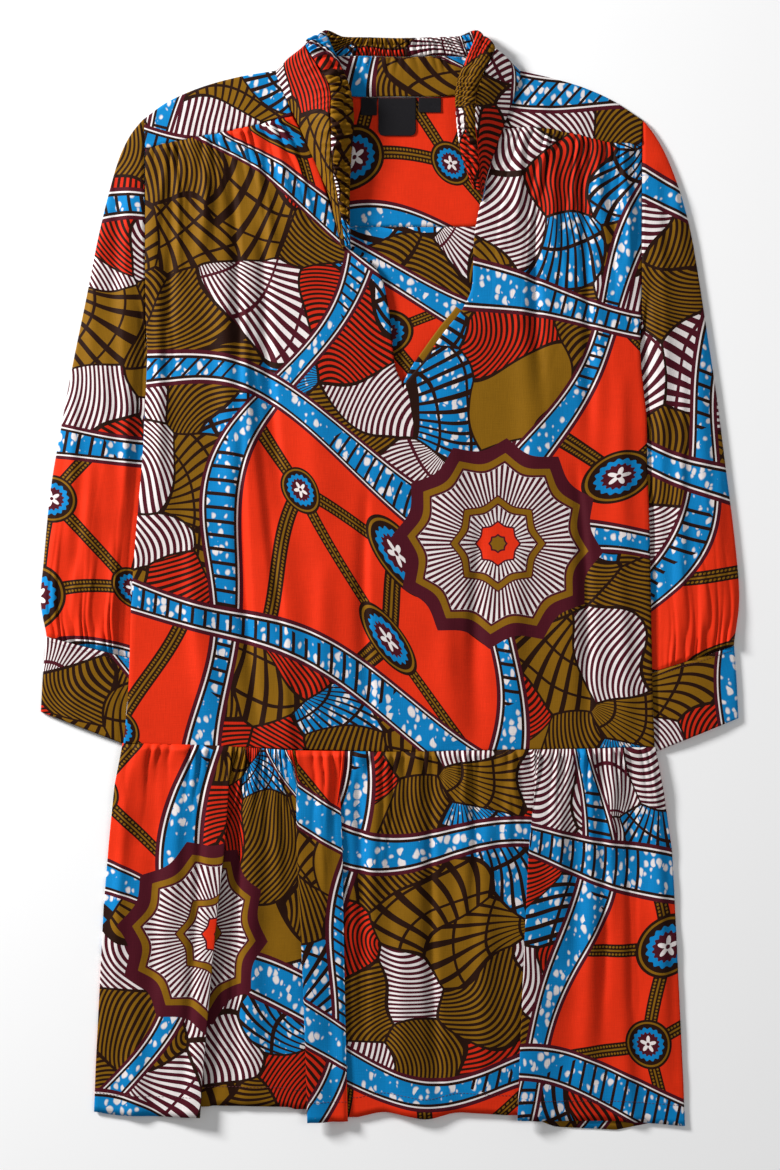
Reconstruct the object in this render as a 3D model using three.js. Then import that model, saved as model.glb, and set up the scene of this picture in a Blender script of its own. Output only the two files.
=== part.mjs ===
import * as THREE from "three";
import { mergeVertices } from "three/addons/utils/BufferGeometryUtils.js";

// A cotton tunic with a dropped waist, laid flat on its back with its arms at its sides. Millimetres.
// Seen from above, +X runs to the right, +Y to the collar and +Z up off the surface it lies on.

// Driving dimensions
const CLOTH = 1.2; // thickness of a wall of cloth
const SEAM_GAP = 0.3; // clearance between pieces that are sewn or lie together
const ARMHOLE_LEFT = -222.3; // x of the left armhole seam
const ARMHOLE_RIGHT = 228.4; // x of the right armhole seam
const BACK_YOKE_SEAM_Y = 322.3; // y of the seam between back yoke and back bodice
const HALF_WIDTH = 230; // from the middle to a side seam
const BODICE_RUN = 480; // from the yoke seam to the dropped waist, for the reach of the gathers
const SKIRT_RUN = 330; // from the dropped waist to the hem, for the reach of the gathers
const FRONT_HEM_SPAN = { left: -269, right: 268 }; // x of the ends of the front hem
const BACK_HEM_SPAN = { left: -268, right: 267 }; // x of the ends of the back hem
const BACK_SKIRT_INSET = 0.6; // how far the back skirt stays inside the front one at the sides

// A sleeve is a flattened tube: thin along its folded edges, higher in the middle
const SLEEVE_EDGE = 3; // height over both layers along a folded edge
const SLEEVE_RISE = 3.2; // height that the middle of a sleeve gains
const CUFF_RISE = 2; // height that the middle of a cuff gains
const FOLD_INSET = 1.6; // width of the rounded fold along a sleeve's edge

// The body rests on the strips of sleeve that pass beneath its sides
const BODY_LIFT = { height: 3.3, from: 186, full: 200, top: 240, topFull: 227, low: -186, lowFull: -170 };

// Gathers: how many, how high and how far they run from their seam
const WAIST_GATHERS = { count: 40, height: 2.2, length: 46 };
const YOKE_GATHERS = { count: 9, height: 2, length: 52 };
const CUFF_GATHERS = { count: 10, height: 1.4, length: 0.14 };
const CASING_GATHERS = { count: 52, height: 0.9 };

// Height of the underside of the front over the surface, at the sides and in the middle
const FRONT_RISE = [
  { y: 470, side: 2.8, middle: 3.4 },
  { y: 424, side: 3.2, middle: 4.4 },
  { y: 392, side: 4.0, middle: 5.0 },
  { y: 330, side: 4.9, middle: 5.1 },
  { y: 240, side: 5.0, middle: 5.1 },
  { y: -175, side: 5.0, middle: 5.1 },
  { y: -215, side: 3.6, middle: 4.6 },
  { y: -260, side: 2.0, middle: 3.8 },
  { y: -510, side: 1.7, middle: 2.8 },
];

// Soft folds of the front. Each runs down through three points and rises by the heights given there;
// crossing it to the right, it climbs over "climb" and falls over "fall".
const FOLDS = [
  { name: "long fold of the bodice", topX: -146, topY: 405, midX: -127, midY: 138, endX: -90, endY: -152,
    topRise: 1, midRise: 3.2, endRise: 2.4, climb: 34, fall: 12 },
  { name: "tuck below the left yoke", topX: -182, topY: 394, midX: -197, midY: 322, endX: -198, endY: 240,
    topRise: 1.4, midRise: 2.4, endRise: 0, climb: 12, fall: 18 },
  { name: "fold below the right yoke", topX: 133, topY: 407, midX: 130, midY: 350, endX: 124, endY: 270,
    topRise: 1.6, midRise: 2.2, endRise: 0, climb: 16, fall: 12 },
  { name: "long fold of the right side", topX: 170, topY: 400, midX: 180, midY: 290, endX: 184, endY: 60,
    topRise: 1, midRise: 2.2, endRise: 0, climb: 20, fall: 16 },
  { name: "low roll left of the middle", topX: -20, topY: 90, midX: -30, midY: -30, endX: -24, endY: -150,
    topRise: 0, midRise: 1.2, endRise: 0.6, climb: 38, fall: 40 },
  { name: "low roll of the right hip", topX: 160, topY: 70, midX: 166, midY: -50, endX: 170, endY: -152,
    topRise: 0, midRise: 1.8, endRise: 1, climb: 24, fall: 22 },
  { name: "outer skirt fold", topX: -226, topY: -200, midX: -230, midY: -330, endX: -232, endY: -500,
    topRise: 0, midRise: 2, endRise: 2.6, climb: 16, fall: 18 },
  { name: "left skirt fold", topX: -141, topY: -156, midX: -160, midY: -320, endX: -175, endY: -500,
    topRise: 1, midRise: 5.4, endRise: 7, climb: 46, fall: 9 },
  { name: "second skirt fold", topX: -88, topY: -156, midX: -79, midY: -320, endX: -73, endY: -500,
    topRise: 1, midRise: 5.2, endRise: 6.6, climb: 9, fall: 42 },
  { name: "middle skirt ripple", topX: -45, topY: -250, midX: -43, midY: -370, endX: -39, endY: -500,
    topRise: 0, midRise: 1.6, endRise: 2.2, climb: 12, fall: 14 },
  { name: "roll left of the middle groove", topX: 34, topY: -156, midX: 24, midY: -320, endX: 20, endY: -500,
    topRise: 1, midRise: 3, endRise: 3.2, climb: 26, fall: 44 },
  { name: "right skirt fold", topX: 132, topY: -156, midX: 124, midY: -320, endX: 117, endY: -500,
    topRise: 1, midRise: 5.2, endRise: 6.4, climb: 9, fall: 48 },
  { name: "far right skirt fold", topX: 214, topY: -190, midX: 216, midY: -340, endX: 218, endY: -500,
    topRise: 0, midRise: 2.4, endRise: 3, climb: 22, fall: 16 },
];

// Rows of the bodice front, from the yoke seam down to the dropped waist. The side points lie on the
// armholes and side seams; the neck points lie on the neckline and the slit down to its foot, and then
// on the middle of the front.
const SLIT_FOOT_ROW = 11;
const BODICE_ROWS = [
  { leftX: -222.3, leftY: 392.5, neckLeftX: -88.3, neckLeftY: 422.2,
    neckRightX: 102.8, neckRightY: 410.4, rightX: 228.4, rightY: 395.9 },
  { leftX: -222.3, leftY: 372, neckLeftX: -81.9, neckLeftY: 411,
    neckRightX: 97, neckRightY: 396, rightX: 228.4, rightY: 374 },
  { leftX: -222.3, leftY: 345, neckLeftX: -72, neckLeftY: 391,
    neckRightX: 91, neckRightY: 378, rightX: 228.4, rightY: 347 },
  { leftX: -222.3, leftY: 318, neckLeftX: -62.5, neckLeftY: 367,
    neckRightX: 86, neckRightY: 357, rightX: 228.4, rightY: 320 },
  { leftX: -222.3, leftY: 290, neckLeftX: -52.5, neckLeftY: 335,
    neckRightX: 80, neckRightY: 334, rightX: 228.4, rightY: 292 },
  { leftX: -222.2, leftY: 262, neckLeftX: -41, neckLeftY: 305,
    neckRightX: 76, neckRightY: 308, rightX: 228.2, rightY: 264 },
  { leftX: -222, leftY: 238, neckLeftX: -20, neckLeftY: 291,
    neckRightX: 75.5, neckRightY: 285, rightX: 227.8, rightY: 240 },
  { leftX: -221, leftY: 222, neckLeftX: -8, neckLeftY: 276,
    neckRightX: 74, neckRightY: 265, rightX: 227.4, rightY: 224 },
  { leftX: -220.4, leftY: 205, neckLeftX: -2, neckLeftY: 252,
    neckRightX: 65, neckRightY: 246, rightX: 227.4, rightY: 207 },
  { leftX: -220.8, leftY: 188, neckLeftX: 1.5, neckLeftY: 222,
    neckRightX: 49, neckRightY: 226, rightX: 228.4, rightY: 190 },
  { leftX: -222, leftY: 168, neckLeftX: 5, neckLeftY: 193,
    neckRightX: 29, neckRightY: 198, rightX: 231, rightY: 168 },
  { leftX: -222.8, leftY: 148, neckLeftX: 11.8, neckLeftY: 174,
    neckRightX: 11.8, neckRightY: 174, rightX: 233, rightY: 148 },
  { leftX: -225, leftY: 110, neckLeftX: 11, neckLeftY: 125,
    neckRightX: 11, neckRightY: 125, rightX: 233.6, rightY: 110 },
  { leftX: -231, leftY: 40, neckLeftX: 8, neckLeftY: 45,
    neckRightX: 8, neckRightY: 45, rightX: 235.7, rightY: 45 },
  { leftX: -235, leftY: -20, neckLeftX: 5, neckLeftY: -20,
    neckRightX: 5, neckRightY: -20, rightX: 237, rightY: -20 },
  { leftX: -237.6, leftY: -98, neckLeftX: 2, neckLeftY: -100,
    neckRightX: 2, neckRightY: -100, rightX: 238.4, rightY: -98 },
  { leftX: -242, leftY: -147.4, neckLeftX: 0, neckLeftY: -155.2,
    neckRightX: 0, neckRightY: -155.2, rightX: 240.2, rightY: -150.6 },
];
const BODICE_STEPS = BODICE_ROWS.length - 1;

// Stations of the two front yokes, from armhole to neck, on the shoulder line and on the gathered seam
const LEFT_YOKE = [
  { shoulderX: -223.6, shoulderY: 420.2, seamX: -222.3, seamY: 392.8 },
  { shoulderX: -202, shoulderY: 435.6, seamX: -188, seamY: 400.4 },
  { shoulderX: -172, shoulderY: 448.8, seamX: -155, seamY: 406.6 },
  { shoulderX: -138, shoulderY: 458.2, seamX: -121, seamY: 414 },
  { shoulderX: -103.5, shoulderY: 464.1, seamX: -88.6, seamY: 422.5 },
];
const RIGHT_YOKE = [
  { shoulderX: 229.8, shoulderY: 418.9, seamX: 228.4, seamY: 396.2 },
  { shoulderX: 203, shoulderY: 436.4, seamX: 198, seamY: 398.4 },
  { shoulderX: 176, shoulderY: 448.6, seamX: 167, seamY: 405.8 },
  { shoulderX: 146, shoulderY: 457.5, seamX: 135, seamY: 411.2 },
  { shoulderX: 117.4, shoulderY: 464.1, seamX: 103, seamY: 410.8 },
];

// Top edge of the back yoke, from the left armhole over the shoulder, the back of the neck and down
const BACK_YOKE_TOP = [
  { x: -223.2, y: 419.6 },
  { x: -200, y: 436 },
  { x: -165, y: 450.2 },
  { x: -132, y: 458.6 },
  { x: -102, y: 462.8 },
  { x: -76, y: 449 },
  { x: -36, y: 441 },
  { x: 8, y: 440 },
  { x: 52, y: 441 },
  { x: 90, y: 447.4 },
  { x: 116, y: 462.4 },
  { x: 146, y: 456.8 },
  { x: 180, y: 446.2 },
  { x: 206, y: 434.2 },
  { x: 229.6, y: 418.2 },
];

// Side edges of the back bodice and both skirts
const SIDE_EDGES = [
  { y: 322, left: -222.3, right: 228.4 },
  { y: 240, left: -222, right: 227.8 },
  { y: 205, left: -220.4, right: 227.4 },
  { y: 168, left: -222, right: 231 },
  { y: 110, left: -225, right: 233.6 },
  { y: 40, left: -231, right: 235.7 },
  { y: -20, left: -235, right: 237 },
  { y: -98, left: -237.6, right: 238.4 },
  { y: -148, left: -242, right: 240.2 },
  { y: -190, left: -250.2, right: 248.4 },
  { y: -244, left: -255.7, right: 256.4 },
  { y: -299, left: -260.3, right: 259.4 },
  { y: -372, left: -263.9, right: 263 },
  { y: -445, left: -267.6, right: 266.6 },
  { y: -496, left: -269.4, right: 268.5 },
];

// The dropped waist seam, by the skirt's own width from left to right
const WAIST_SEAM = [
  { share: 0, y: -148 },
  { share: 0.16, y: -149.8 },
  { share: 0.32, y: -154.6 },
  { share: 0.5, y: -155.9 },
  { share: 0.88, y: -153 },
  { share: 1, y: -151.2 },
];

// Hem of the skirt front: it drops where a fold brings the cloth forward
const FRONT_HEM = [
  { x: -269.4, y: -482 },
  { x: -250, y: -485.6 },
  { x: -177, y: -487 },
  { x: -167, y: -476.4 },
  { x: -86, y: -478 },
  { x: -75, y: -492.2 },
  { x: -40, y: -489.6 },
  { x: -6, y: -481.6 },
  { x: 34, y: -489.6 },
  { x: 60, y: -482.4 },
  { x: 106, y: -485.4 },
  { x: 130, y: -490.4 },
  { x: 212, y: -490.6 },
  { x: 268.5, y: -495.6 },
];

// Hem of the skirt back, which shows only below the right of the front
const BACK_HEM = [
  { x: -269, y: -474 },
  { x: -100, y: -470 },
  { x: 90, y: -474 },
  { x: 150, y: -496.4 },
  { x: 205, y: -499.2 },
  { x: 240, y: -492 },
  { x: 268, y: -488 },
];

// Sections of a sleeve from armhole to cuff. "inner" lies beneath the body, "outer" is the silhouette,
// "bow" and "sag" move the middle of a section, and "hidden" is the share of it beneath the body.
const LEFT_SLEEVE = [
  { outerX: -224.4, outerY: 420.2, innerX: -222.8, innerY: 225, bow: 0, sag: 0, hidden: 0 },
  { outerX: -236, outerY: 405.5, innerX: -221.6, innerY: 215, bow: -1.8, sag: -5, hidden: 0.06 },
  { outerX: -246, outerY: 385, innerX: -214, innerY: 196, bow: -5, sag: -7.7, hidden: 0.2 },
  { outerX: -255, outerY: 355, innerX: -209.5, innerY: 170, bow: -4, sag: -9, hidden: 0.25 },
  { outerX: -265.4, outerY: 312, innerX: -206.5, innerY: 138, bow: -2, sag: -3, hidden: 0.29 },
  { outerX: -276, outerY: 258, innerX: -205.5, innerY: 108, bow: 0, sag: 0, hidden: 0.3 },
  { outerX: -287.5, outerY: 202, innerX: -205.5, innerY: 75, bow: 0, sag: 0, hidden: 0.3 },
  { outerX: -299, outerY: 140, innerX: -206.5, innerY: 42, bow: 0, sag: 0, hidden: 0.29 },
  { outerX: -308.5, outerY: 84, innerX: -208, innerY: 10, bow: 0, sag: 0, hidden: 0.29 },
  { outerX: -314.6, outerY: 22, innerX: -209.5, innerY: -22, bow: 0, sag: 0, hidden: 0.29 },
  { outerX: -317.6, outerY: -18, innerX: -211, innerY: -46, bow: 0, sag: 0, hidden: 0.29 },
  { outerX: -312.4, outerY: -49.4, innerX: -213, innerY: -74.8, bow: 0, sag: 0, hidden: 0.3 },
];
const RIGHT_SLEEVE = [
  { outerX: 230.4, outerY: 419, innerX: 228.9, innerY: 225, bow: 0, sag: 0, hidden: 0 },
  { outerX: 241, outerY: 405, innerX: 227.6, innerY: 215, bow: 1.8, sag: -5, hidden: 0.06 },
  { outerX: 251.5, outerY: 386, innerX: 219, innerY: 196, bow: 5, sag: -7.7, hidden: 0.26 },
  { outerX: 263.3, outerY: 355, innerX: 214, innerY: 170, bow: 4, sag: -9, hidden: 0.32 },
  { outerX: 273.3, outerY: 318, innerX: 210, innerY: 138, bow: 2, sag: -3, hidden: 0.37 },
  { outerX: 280.8, outerY: 275, innerX: 209, innerY: 108, bow: 0, sag: 0, hidden: 0.36 },
  { outerX: 288.9, outerY: 222, innerX: 209, innerY: 75, bow: 0, sag: 0, hidden: 0.35 },
  { outerX: 297.5, outerY: 165, innerX: 209, innerY: 42, bow: 0, sag: 0, hidden: 0.33 },
  { outerX: 305.7, outerY: 100, innerX: 210, innerY: 8, bow: 0, sag: 0, hidden: 0.32 },
  { outerX: 313, outerY: 42, innerX: 211, innerY: -26, bow: 0, sag: 0, hidden: 0.31 },
  { outerX: 317.6, outerY: -14, innerX: 212, innerY: -56, bow: 0, sag: 0, hidden: 0.31 },
  { outerX: 312.8, outerY: -57.6, innerX: 213, innerY: -90.4, bow: 0, sag: 0, hidden: 0.31 },
];
const LEFT_CUFF = [
  { outerX: -312.6, outerY: -50.8, innerX: -213.2, innerY: -76.3, bow: 0, sag: 0, hidden: 0.31 },
  { outerX: -315.8, outerY: -86, innerX: -213, innerY: -118, bow: 0, sag: 0, hidden: 0.31 },
  { outerX: -317.6, outerY: -118.8, innerX: -213, innerY: -159.5, bow: 0, sag: 0, hidden: 0.31 },
];
const RIGHT_CUFF = [
  { outerX: 313, outerY: -59, innerX: 213.2, innerY: -91.9, bow: 0, sag: 0, hidden: 0.3 },
  { outerX: 315.4, outerY: -94, innerX: 213, innerY: -130, bow: 0, sag: 0, hidden: 0.3 },
  { outerX: 316.8, outerY: -124.6, innerX: 213, innerY: -167, bow: 0, sag: 0, hidden: 0.3 },
];

// Stations of the standing collar, from the left front end round the back of the neck to the right end.
// It rises from its seam to a roll, and its shirred casing falls inward from there to the free edge.
const COLLAR = [
  { seamX: -44, seamY: 302, seamZ: 7.3, rollX: -40.5, rollY: 303.4, rollZ: 8.4, edgeX: -36, edgeY: 305, edgeZ: 8.2 },
  { seamX: -54.2, seamY: 346.7, seamZ: 7.3, rollX: -47, rollY: 347, rollZ: 12, edgeX: -36.6, edgeY: 347.6, edgeZ: 9.6 },
  { seamX: -64.5, seamY: 372.2, seamZ: 7.3, rollX: -52, rollY: 375.8, rollZ: 17, edgeX: -35.5, edgeY: 378.6, edgeZ: 11 },
  { seamX: -81.9, seamY: 412.2, seamZ: 7.3, rollX: -53.7, rollY: 417.7, rollZ: 21, edgeX: -32.8, edgeY: 419.5, edgeZ: 13 },
  { seamX: -92.8, seamY: 435, seamZ: 7.2, rollX: -55, rollY: 448.6, rollZ: 18, edgeX: -38.2, edgeY: 452, edgeZ: 12.5 },
  { seamX: -102.8, seamY: 463.2, seamZ: 4.8, rollX: -76.4, rollY: 486.2, rollZ: 8.8, edgeX: -57, edgeY: 496.8, edgeZ: 8 },
  { seamX: -77.4, seamY: 449.8, seamZ: 2.6, rollX: -54.6, rollY: 478, rollZ: 3, edgeX: -42, edgeY: 494.6, edgeZ: 3.6 },
  { seamX: -36.4, seamY: 441, seamZ: 2.3, rollX: -22.8, rollY: 477.8, rollZ: 2.6, edgeX: -19, edgeY: 494.1, edgeZ: 3 },
  { seamX: 7.3, seamY: 440.6, seamZ: 2.3, rollX: 7.3, rollY: 476.8, rollZ: 2.6, edgeX: 8.2, edgeY: 493.4, edgeZ: 3 },
  { seamX: 51, seamY: 441, seamZ: 2.3, rollX: 43.5, rollY: 477.8, rollZ: 2.6, edgeX: 38, edgeY: 494.1, edgeZ: 3 },
  { seamX: 91, seamY: 448, seamZ: 2.6, rollX: 72.8, rollY: 477.4, rollZ: 3, edgeX: 62, edgeY: 495, edgeZ: 3.6 },
  { seamX: 117.4, seamY: 463.2, seamZ: 4.8, rollX: 94.6, rollY: 484.6, rollZ: 8.8, edgeX: 78, edgeY: 496.8, edgeZ: 8 },
  { seamX: 111, seamY: 435, seamZ: 7.2, rollX: 79.5, rollY: 447.4, rollZ: 18, edgeX: 61, edgeY: 452, edgeZ: 12.5 },
  { seamX: 100.1, seamY: 405.9, seamZ: 7.3, rollX: 76.4, rollY: 417.7, rollZ: 20, edgeX: 60, edgeY: 421.3, edgeZ: 13 },
  { seamX: 91, seamY: 376.7, seamZ: 7.3, rollX: 80.1, rollY: 386, rollZ: 14, edgeX: 64.5, edgeY: 387.7, edgeZ: 11 },
  { seamX: 84, seamY: 345, seamZ: 7.3, rollX: 82, rollY: 352, rollZ: 8.8, edgeX: 75, edgeY: 356, edgeZ: 8.6 },
];

// Woven labels that hang from the collar seam onto the back yoke
const LABELS = [
  { name: "label_size", left: -26.4, right: -11.8, drop: 16, corner: 0 },
  { name: "label_main", left: -10.6, right: 23.6, drop: 34.6, corner: 5 },
  { name: "label_origin", left: 26, right: 46.4, drop: 13.4, corner: 0 },
];
const LABEL_TOP_Y = 439.4;
const LABEL_THICKNESS = 1;

const COLOURS = {
  vermilion: 0xd9421f,
  ochre: 0x8a6318,
  blue: 0x1787c2,
  black: 0x14141a,
};

// Eases from 0 to 1 as t runs from 0 to 1
function smooth(t) {
  const held = THREE.MathUtils.clamp(t, 0, 1);
  return held * held * (3 - 2 * held);
}

// Reads a column of a table whose rows are ordered by another column
function read(rows, by, column, at) {
  const rising = rows[rows.length - 1][by] > rows[0][by];
  let i = 1;
  while (i < rows.length - 1 && (rising ? rows[i][by] < at : rows[i][by] > at)) i += 1;
  const before = rows[i - 1];
  const after = rows[i];
  const t = THREE.MathUtils.clamp((at - before[by]) / (after[by] - before[by]), 0, 1);
  return THREE.MathUtils.lerp(before[column], after[column], t);
}

// A smooth curve through every row of a table, with its x, y and z in the columns named
function curveOf(rows, x, y, z) {
  const points = rows.map((row) => new THREE.Vector3(row[x], row[y], z ? row[z] : 0));
  return new THREE.CatmullRomCurve3(points, false, "catmullrom", 0.5);
}

// Joins two rows of vertices with triangles, even where one row holds more of them
function bridge(faces, first, second) {
  let i = 0;
  let j = 0;
  while (i < first.length - 1 || j < second.length - 1) {
    const nextFirst = (i + 1) / (first.length - 1);
    const nextSecond = (j + 1) / (second.length - 1);
    const stepFirst = j === second.length - 1 || (i < first.length - 1 && nextFirst <= nextSecond);
    if (stepFirst) {
      faces.push(first[i], first[i + 1], second[j]);
      i += 1;
    } else {
      faces.push(first[i], second[j + 1], second[j]);
      j += 1;
    }
  }
}

// Adds a wall to a shape. Rows of outer and inner points run across it; a closed wall is a tube.
// joinedFirst and joinedLast are the first rows at which its sides go on into a neighbouring wall.
function addWall(shape, outer, inner, { closed = false, joinedFirst = Infinity, joinedLast = Infinity } = {}) {
  const number = (rows) =>
    rows.map((row) => {
      const numbers = row.map((point) => shape.points.push(point) - 1);
      if (closed) numbers.push(numbers[0]);
      return numbers;
    });
  const out = number(outer);
  const inn = number(inner);
  const last = out.length - 1;
  for (let r = 0; r < last; r += 1) {
    bridge(shape.faces, out[r], out[r + 1]);
    bridge(shape.faces, inn[r + 1], inn[r]);
  }
  bridge(shape.faces, inn[0], out[0]);
  bridge(shape.faces, out[last], inn[last]);
  if (closed) return;
  const side = (rows, pick, to) => rows.slice(0, to).map(pick);
  const start = (row) => row[0];
  const end = (row) => row[row.length - 1];
  bridge(shape.faces, side(out, start, joinedFirst + 1), side(inn, start, joinedFirst + 1));
  bridge(shape.faces, side(inn, end, joinedLast + 1), side(out, end, joinedLast + 1));
}

// A named mesh from points and faces, turned so that its faces look outward
function meshOf(name, colour, shape) {
  let volume = 0;
  for (let i = 0; i < shape.faces.length; i += 3) {
    const [a, b, c] = [0, 1, 2].map((k) => shape.points[shape.faces[i + k]]);
    volume += a.dot(new THREE.Vector3().crossVectors(b, c));
  }
  if (volume < 0) shape.faces.reverse();
  const geometry = new THREE.BufferGeometry().setFromPoints(shape.points);
  geometry.setIndex(shape.faces);
  const welded = mergeVertices(geometry, 1e-3);
  welded.computeVertexNormals();
  const material = new THREE.MeshStandardMaterial({ color: colour, roughness: 0.88, metalness: 0 });
  const mesh = new THREE.Mesh(welded, material);
  mesh.name = name;
  return mesh;
}

// Height of the underside of the back over the surface
function backUnderside(x, y) {
  const across = smooth((Math.abs(x) - BODY_LIFT.from) / (BODY_LIFT.full - BODY_LIFT.from));
  const above = smooth((BODY_LIFT.top - y) / (BODY_LIFT.top - BODY_LIFT.topFull));
  const below = smooth((y - BODY_LIFT.low) / (BODY_LIFT.lowFull - BODY_LIFT.low));
  return BODY_LIFT.height * across * above * below;
}

// How far a fold raises the cloth at a point
function foldRise(fold, x, y) {
  const t = (fold.topY - y) / (fold.topY - fold.endY);
  if (t < -0.05 || t > 1.05) return 0;
  const middle = (fold.topY - fold.midY) / (fold.topY - fold.endY);
  const lean = (fold.midX - THREE.MathUtils.lerp(fold.topX, fold.endX, middle)) / (middle * (1 - middle));
  const crest = THREE.MathUtils.lerp(fold.topX, fold.endX, t) + lean * t * (1 - t);
  const upper = THREE.MathUtils.lerp(fold.topRise, fold.midRise, smooth(t / middle));
  const rise = THREE.MathUtils.lerp(upper, fold.endRise, smooth((t - middle) / (1 - middle)));
  const reach = x < crest ? fold.climb : fold.fall;
  return rise * (1 - smooth(Math.abs(x - crest) / reach));
}

// Height of the underside of the front over the surface, without its gathers
function frontUnderside(x, y) {
  const side = read(FRONT_RISE, "y", "side", y);
  const middle = read(FRONT_RISE, "y", "middle", y);
  const flat = THREE.MathUtils.lerp(middle, side, Math.min(1, (x / HALF_WIDTH) ** 2));
  return FOLDS.reduce((height, fold) => height + foldRise(fold, x, y), flat);
}

// A vertical step that keeps the wall as thick as the cloth where its underside slopes
function wallStep(underside, x, y) {
  const slopeX = underside(x + 1, y) - underside(x - 1, y);
  const slopeY = underside(x, y + 1) - underside(x, y - 1);
  return CLOTH * Math.hypot(1, slopeX / 2, slopeY / 2);
}

// One gather's wave, unevenly high from gather to gather, 0 in each valley
function gatherWave(share, count) {
  const wave = 0.5 - 0.5 * Math.cos(2 * Math.PI * share * count);
  const uneven = 0.78 + 0.22 * Math.sin(share * count * 2.3 + Math.sin(share * 9));
  return wave * uneven;
}

// Rows of points across a panel, at the stations given down it and the counts of columns given there
function panelRows(stations, place, underside, lift) {
  return stations.map(({ down, columns }) => {
    const row = [];
    for (let c = 0; c <= columns; c += 1) {
      const across = c / columns;
      const { x, y } = place(across, down);
      row.push(new THREE.Vector3(x, y, underside(x, y) + (lift ? lift(across, down) : 0)));
    }
    return row;
  });
}

// The upper points of a panel's wall, over its lower ones
function raised(rows, underside, thickness = CLOTH) {
  return rows.map((row) =>
    row.map((point) => {
      const step = (wallStep(underside, point.x, point.y) * thickness) / CLOTH;
      return new THREE.Vector3(point.x, point.y, point.z + step);
    }),
  );
}

// Stations down a panel: shares of its length, each with its count of columns
function stationsOf(bands) {
  return bands.flatMap(({ from, to, rows, columns }) =>
    Array.from({ length: rows }, (_, i) => ({ down: from + ((to - from) * i) / rows, columns })),
  );
}

function yokeSeam(stations) {
  return curveOf(stations, "seamX", "seamY");
}

// The bodice front: two halves, joined along the middle below the slit
function makeFrontBodice() {
  const stations = stationsOf([
    { from: 0, to: 2 / BODICE_STEPS, rows: 3, columns: 36 },
    { from: 2 / BODICE_STEPS, to: 1, rows: 14, columns: 18 },
    { from: 1, to: 1.1, rows: 1, columns: 18 },
  ]);
  const footIndex = stations.findIndex(({ down }) => Math.abs(down * BODICE_STEPS - SLIT_FOOT_ROW) < 1e-6);
  const shape = { points: [], faces: [] };
  const halves = [
    { side: ["leftX", "leftY"], neck: ["neckLeftX", "neckLeftY"], yoke: LEFT_YOKE, flip: false },
    { side: ["rightX", "rightY"], neck: ["neckRightX", "neckRightY"], yoke: RIGHT_YOKE, flip: true },
  ];
  for (const half of halves) {
    const sideEdge = curveOf(BODICE_ROWS, ...half.side);
    const neckEdge = curveOf(BODICE_ROWS, ...half.neck);
    const seam = yokeSeam(half.yoke);
    const place = (across, down) => {
      const inward = half.flip ? 1 - across : across;
      const point = sideEdge.getPoint(down).lerp(neckEdge.getPoint(down), inward);
      const straight = sideEdge.getPoint(0).lerp(neckEdge.getPoint(0), inward);
      const bowed = seam.getPoint(inward);
      bowed.y -= SEAM_GAP + 0.1;
      return point.addScaledVector(bowed.sub(straight), 1 - smooth(down / 0.2));
    };
    const gathers = (across, down) => {
      const inward = half.flip ? 1 - across : across;
      const reach = Math.exp(-(((down * BODICE_RUN) / YOKE_GATHERS.length) ** 2));
      const ends = smooth(inward / 0.1) * smooth((1 - inward) / 0.14);
      return YOKE_GATHERS.height * reach * ends * gatherWave(inward, YOKE_GATHERS.count);
    };
    const low = panelRows(stations, place, frontUnderside, gathers);
    const high = raised(low, frontUnderside);
    const joined = half.flip ? { joinedFirst: footIndex } : { joinedLast: footIndex };
    addWall(shape, high, low, joined);
  }
  return meshOf("front_bodice", COLOURS.vermilion, shape);
}

// A front yoke, from the shoulder line to the gathered seam
function makeFrontYoke(name, table) {
  const shoulder = curveOf(table, "shoulderX", "shoulderY");
  const seam = yokeSeam(table);
  const columns = 16;
  const pointAt = (across, down) => {
    const at = shoulder.getPoint(across).lerp(seam.getPoint(across), down);
    const atSeam = seam.getPoint(across);
    const seamHeight = frontUnderside(atSeam.x, atSeam.y);
    const rest = CLOTH + SEAM_GAP;
    at.z = rest + (seamHeight - rest) * Math.sin((down * Math.PI) / 2);
    return at;
  };
  const low = [0, 0.3, 0.65, 1].map((down) =>
    Array.from({ length: columns + 1 }, (_, c) => pointAt(c / columns, down)),
  );
  const high = low.map((row) => row.map((point) => point.clone().setZ(point.z + CLOTH * 1.02)));
  const shape = { points: [], faces: [] };
  addWall(shape, high, low);
  return meshOf(name, COLOURS.ochre, shape);
}

// Shares across a back panel: close together where the body rises over the sleeves
const BACK_SHARES = [0, 0.016, 0.034, 0.054, 0.076, 0.11, 0.24, 0.37, 0.5, 0.63, 0.76, 0.89, 0.924, 0.946, 0.966,
  0.984, 1];

// A flat back panel between an upper and a lower edge, given by share across
function makeBackPanel(name, colour, levels, place) {
  const low = levels.map((down) =>
    BACK_SHARES.map((across) => {
      const { x, y } = place(across, down);
      return new THREE.Vector3(x, y, backUnderside(x, y));
    }),
  );
  const shape = { points: [], faces: [] };
  addWall(shape, raised(low, backUnderside), low);
  return meshOf(name, colour, shape);
}

function sidesAt(y) {
  return { left: read(SIDE_EDGES, "y", "left", y), right: read(SIDE_EDGES, "y", "right", y) };
}

function waistY(across) {
  return read(WAIST_SEAM, "share", "y", across);
}

function makeBackBodice() {
  const top = BACK_YOKE_SEAM_Y - SEAM_GAP;
  const levels = [0, 0.1, 0.172, 0.2, 0.23, 0.4, 0.6, 0.8, 0.93, 1];
  return makeBackPanel("back_bodice", COLOURS.vermilion, levels, (across, down) => {
    const y = THREE.MathUtils.lerp(top, waistY(across) + SEAM_GAP, down);
    const { left, right } = sidesAt(y);
    return { x: THREE.MathUtils.lerp(left, right, across), y };
  });
}

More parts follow.
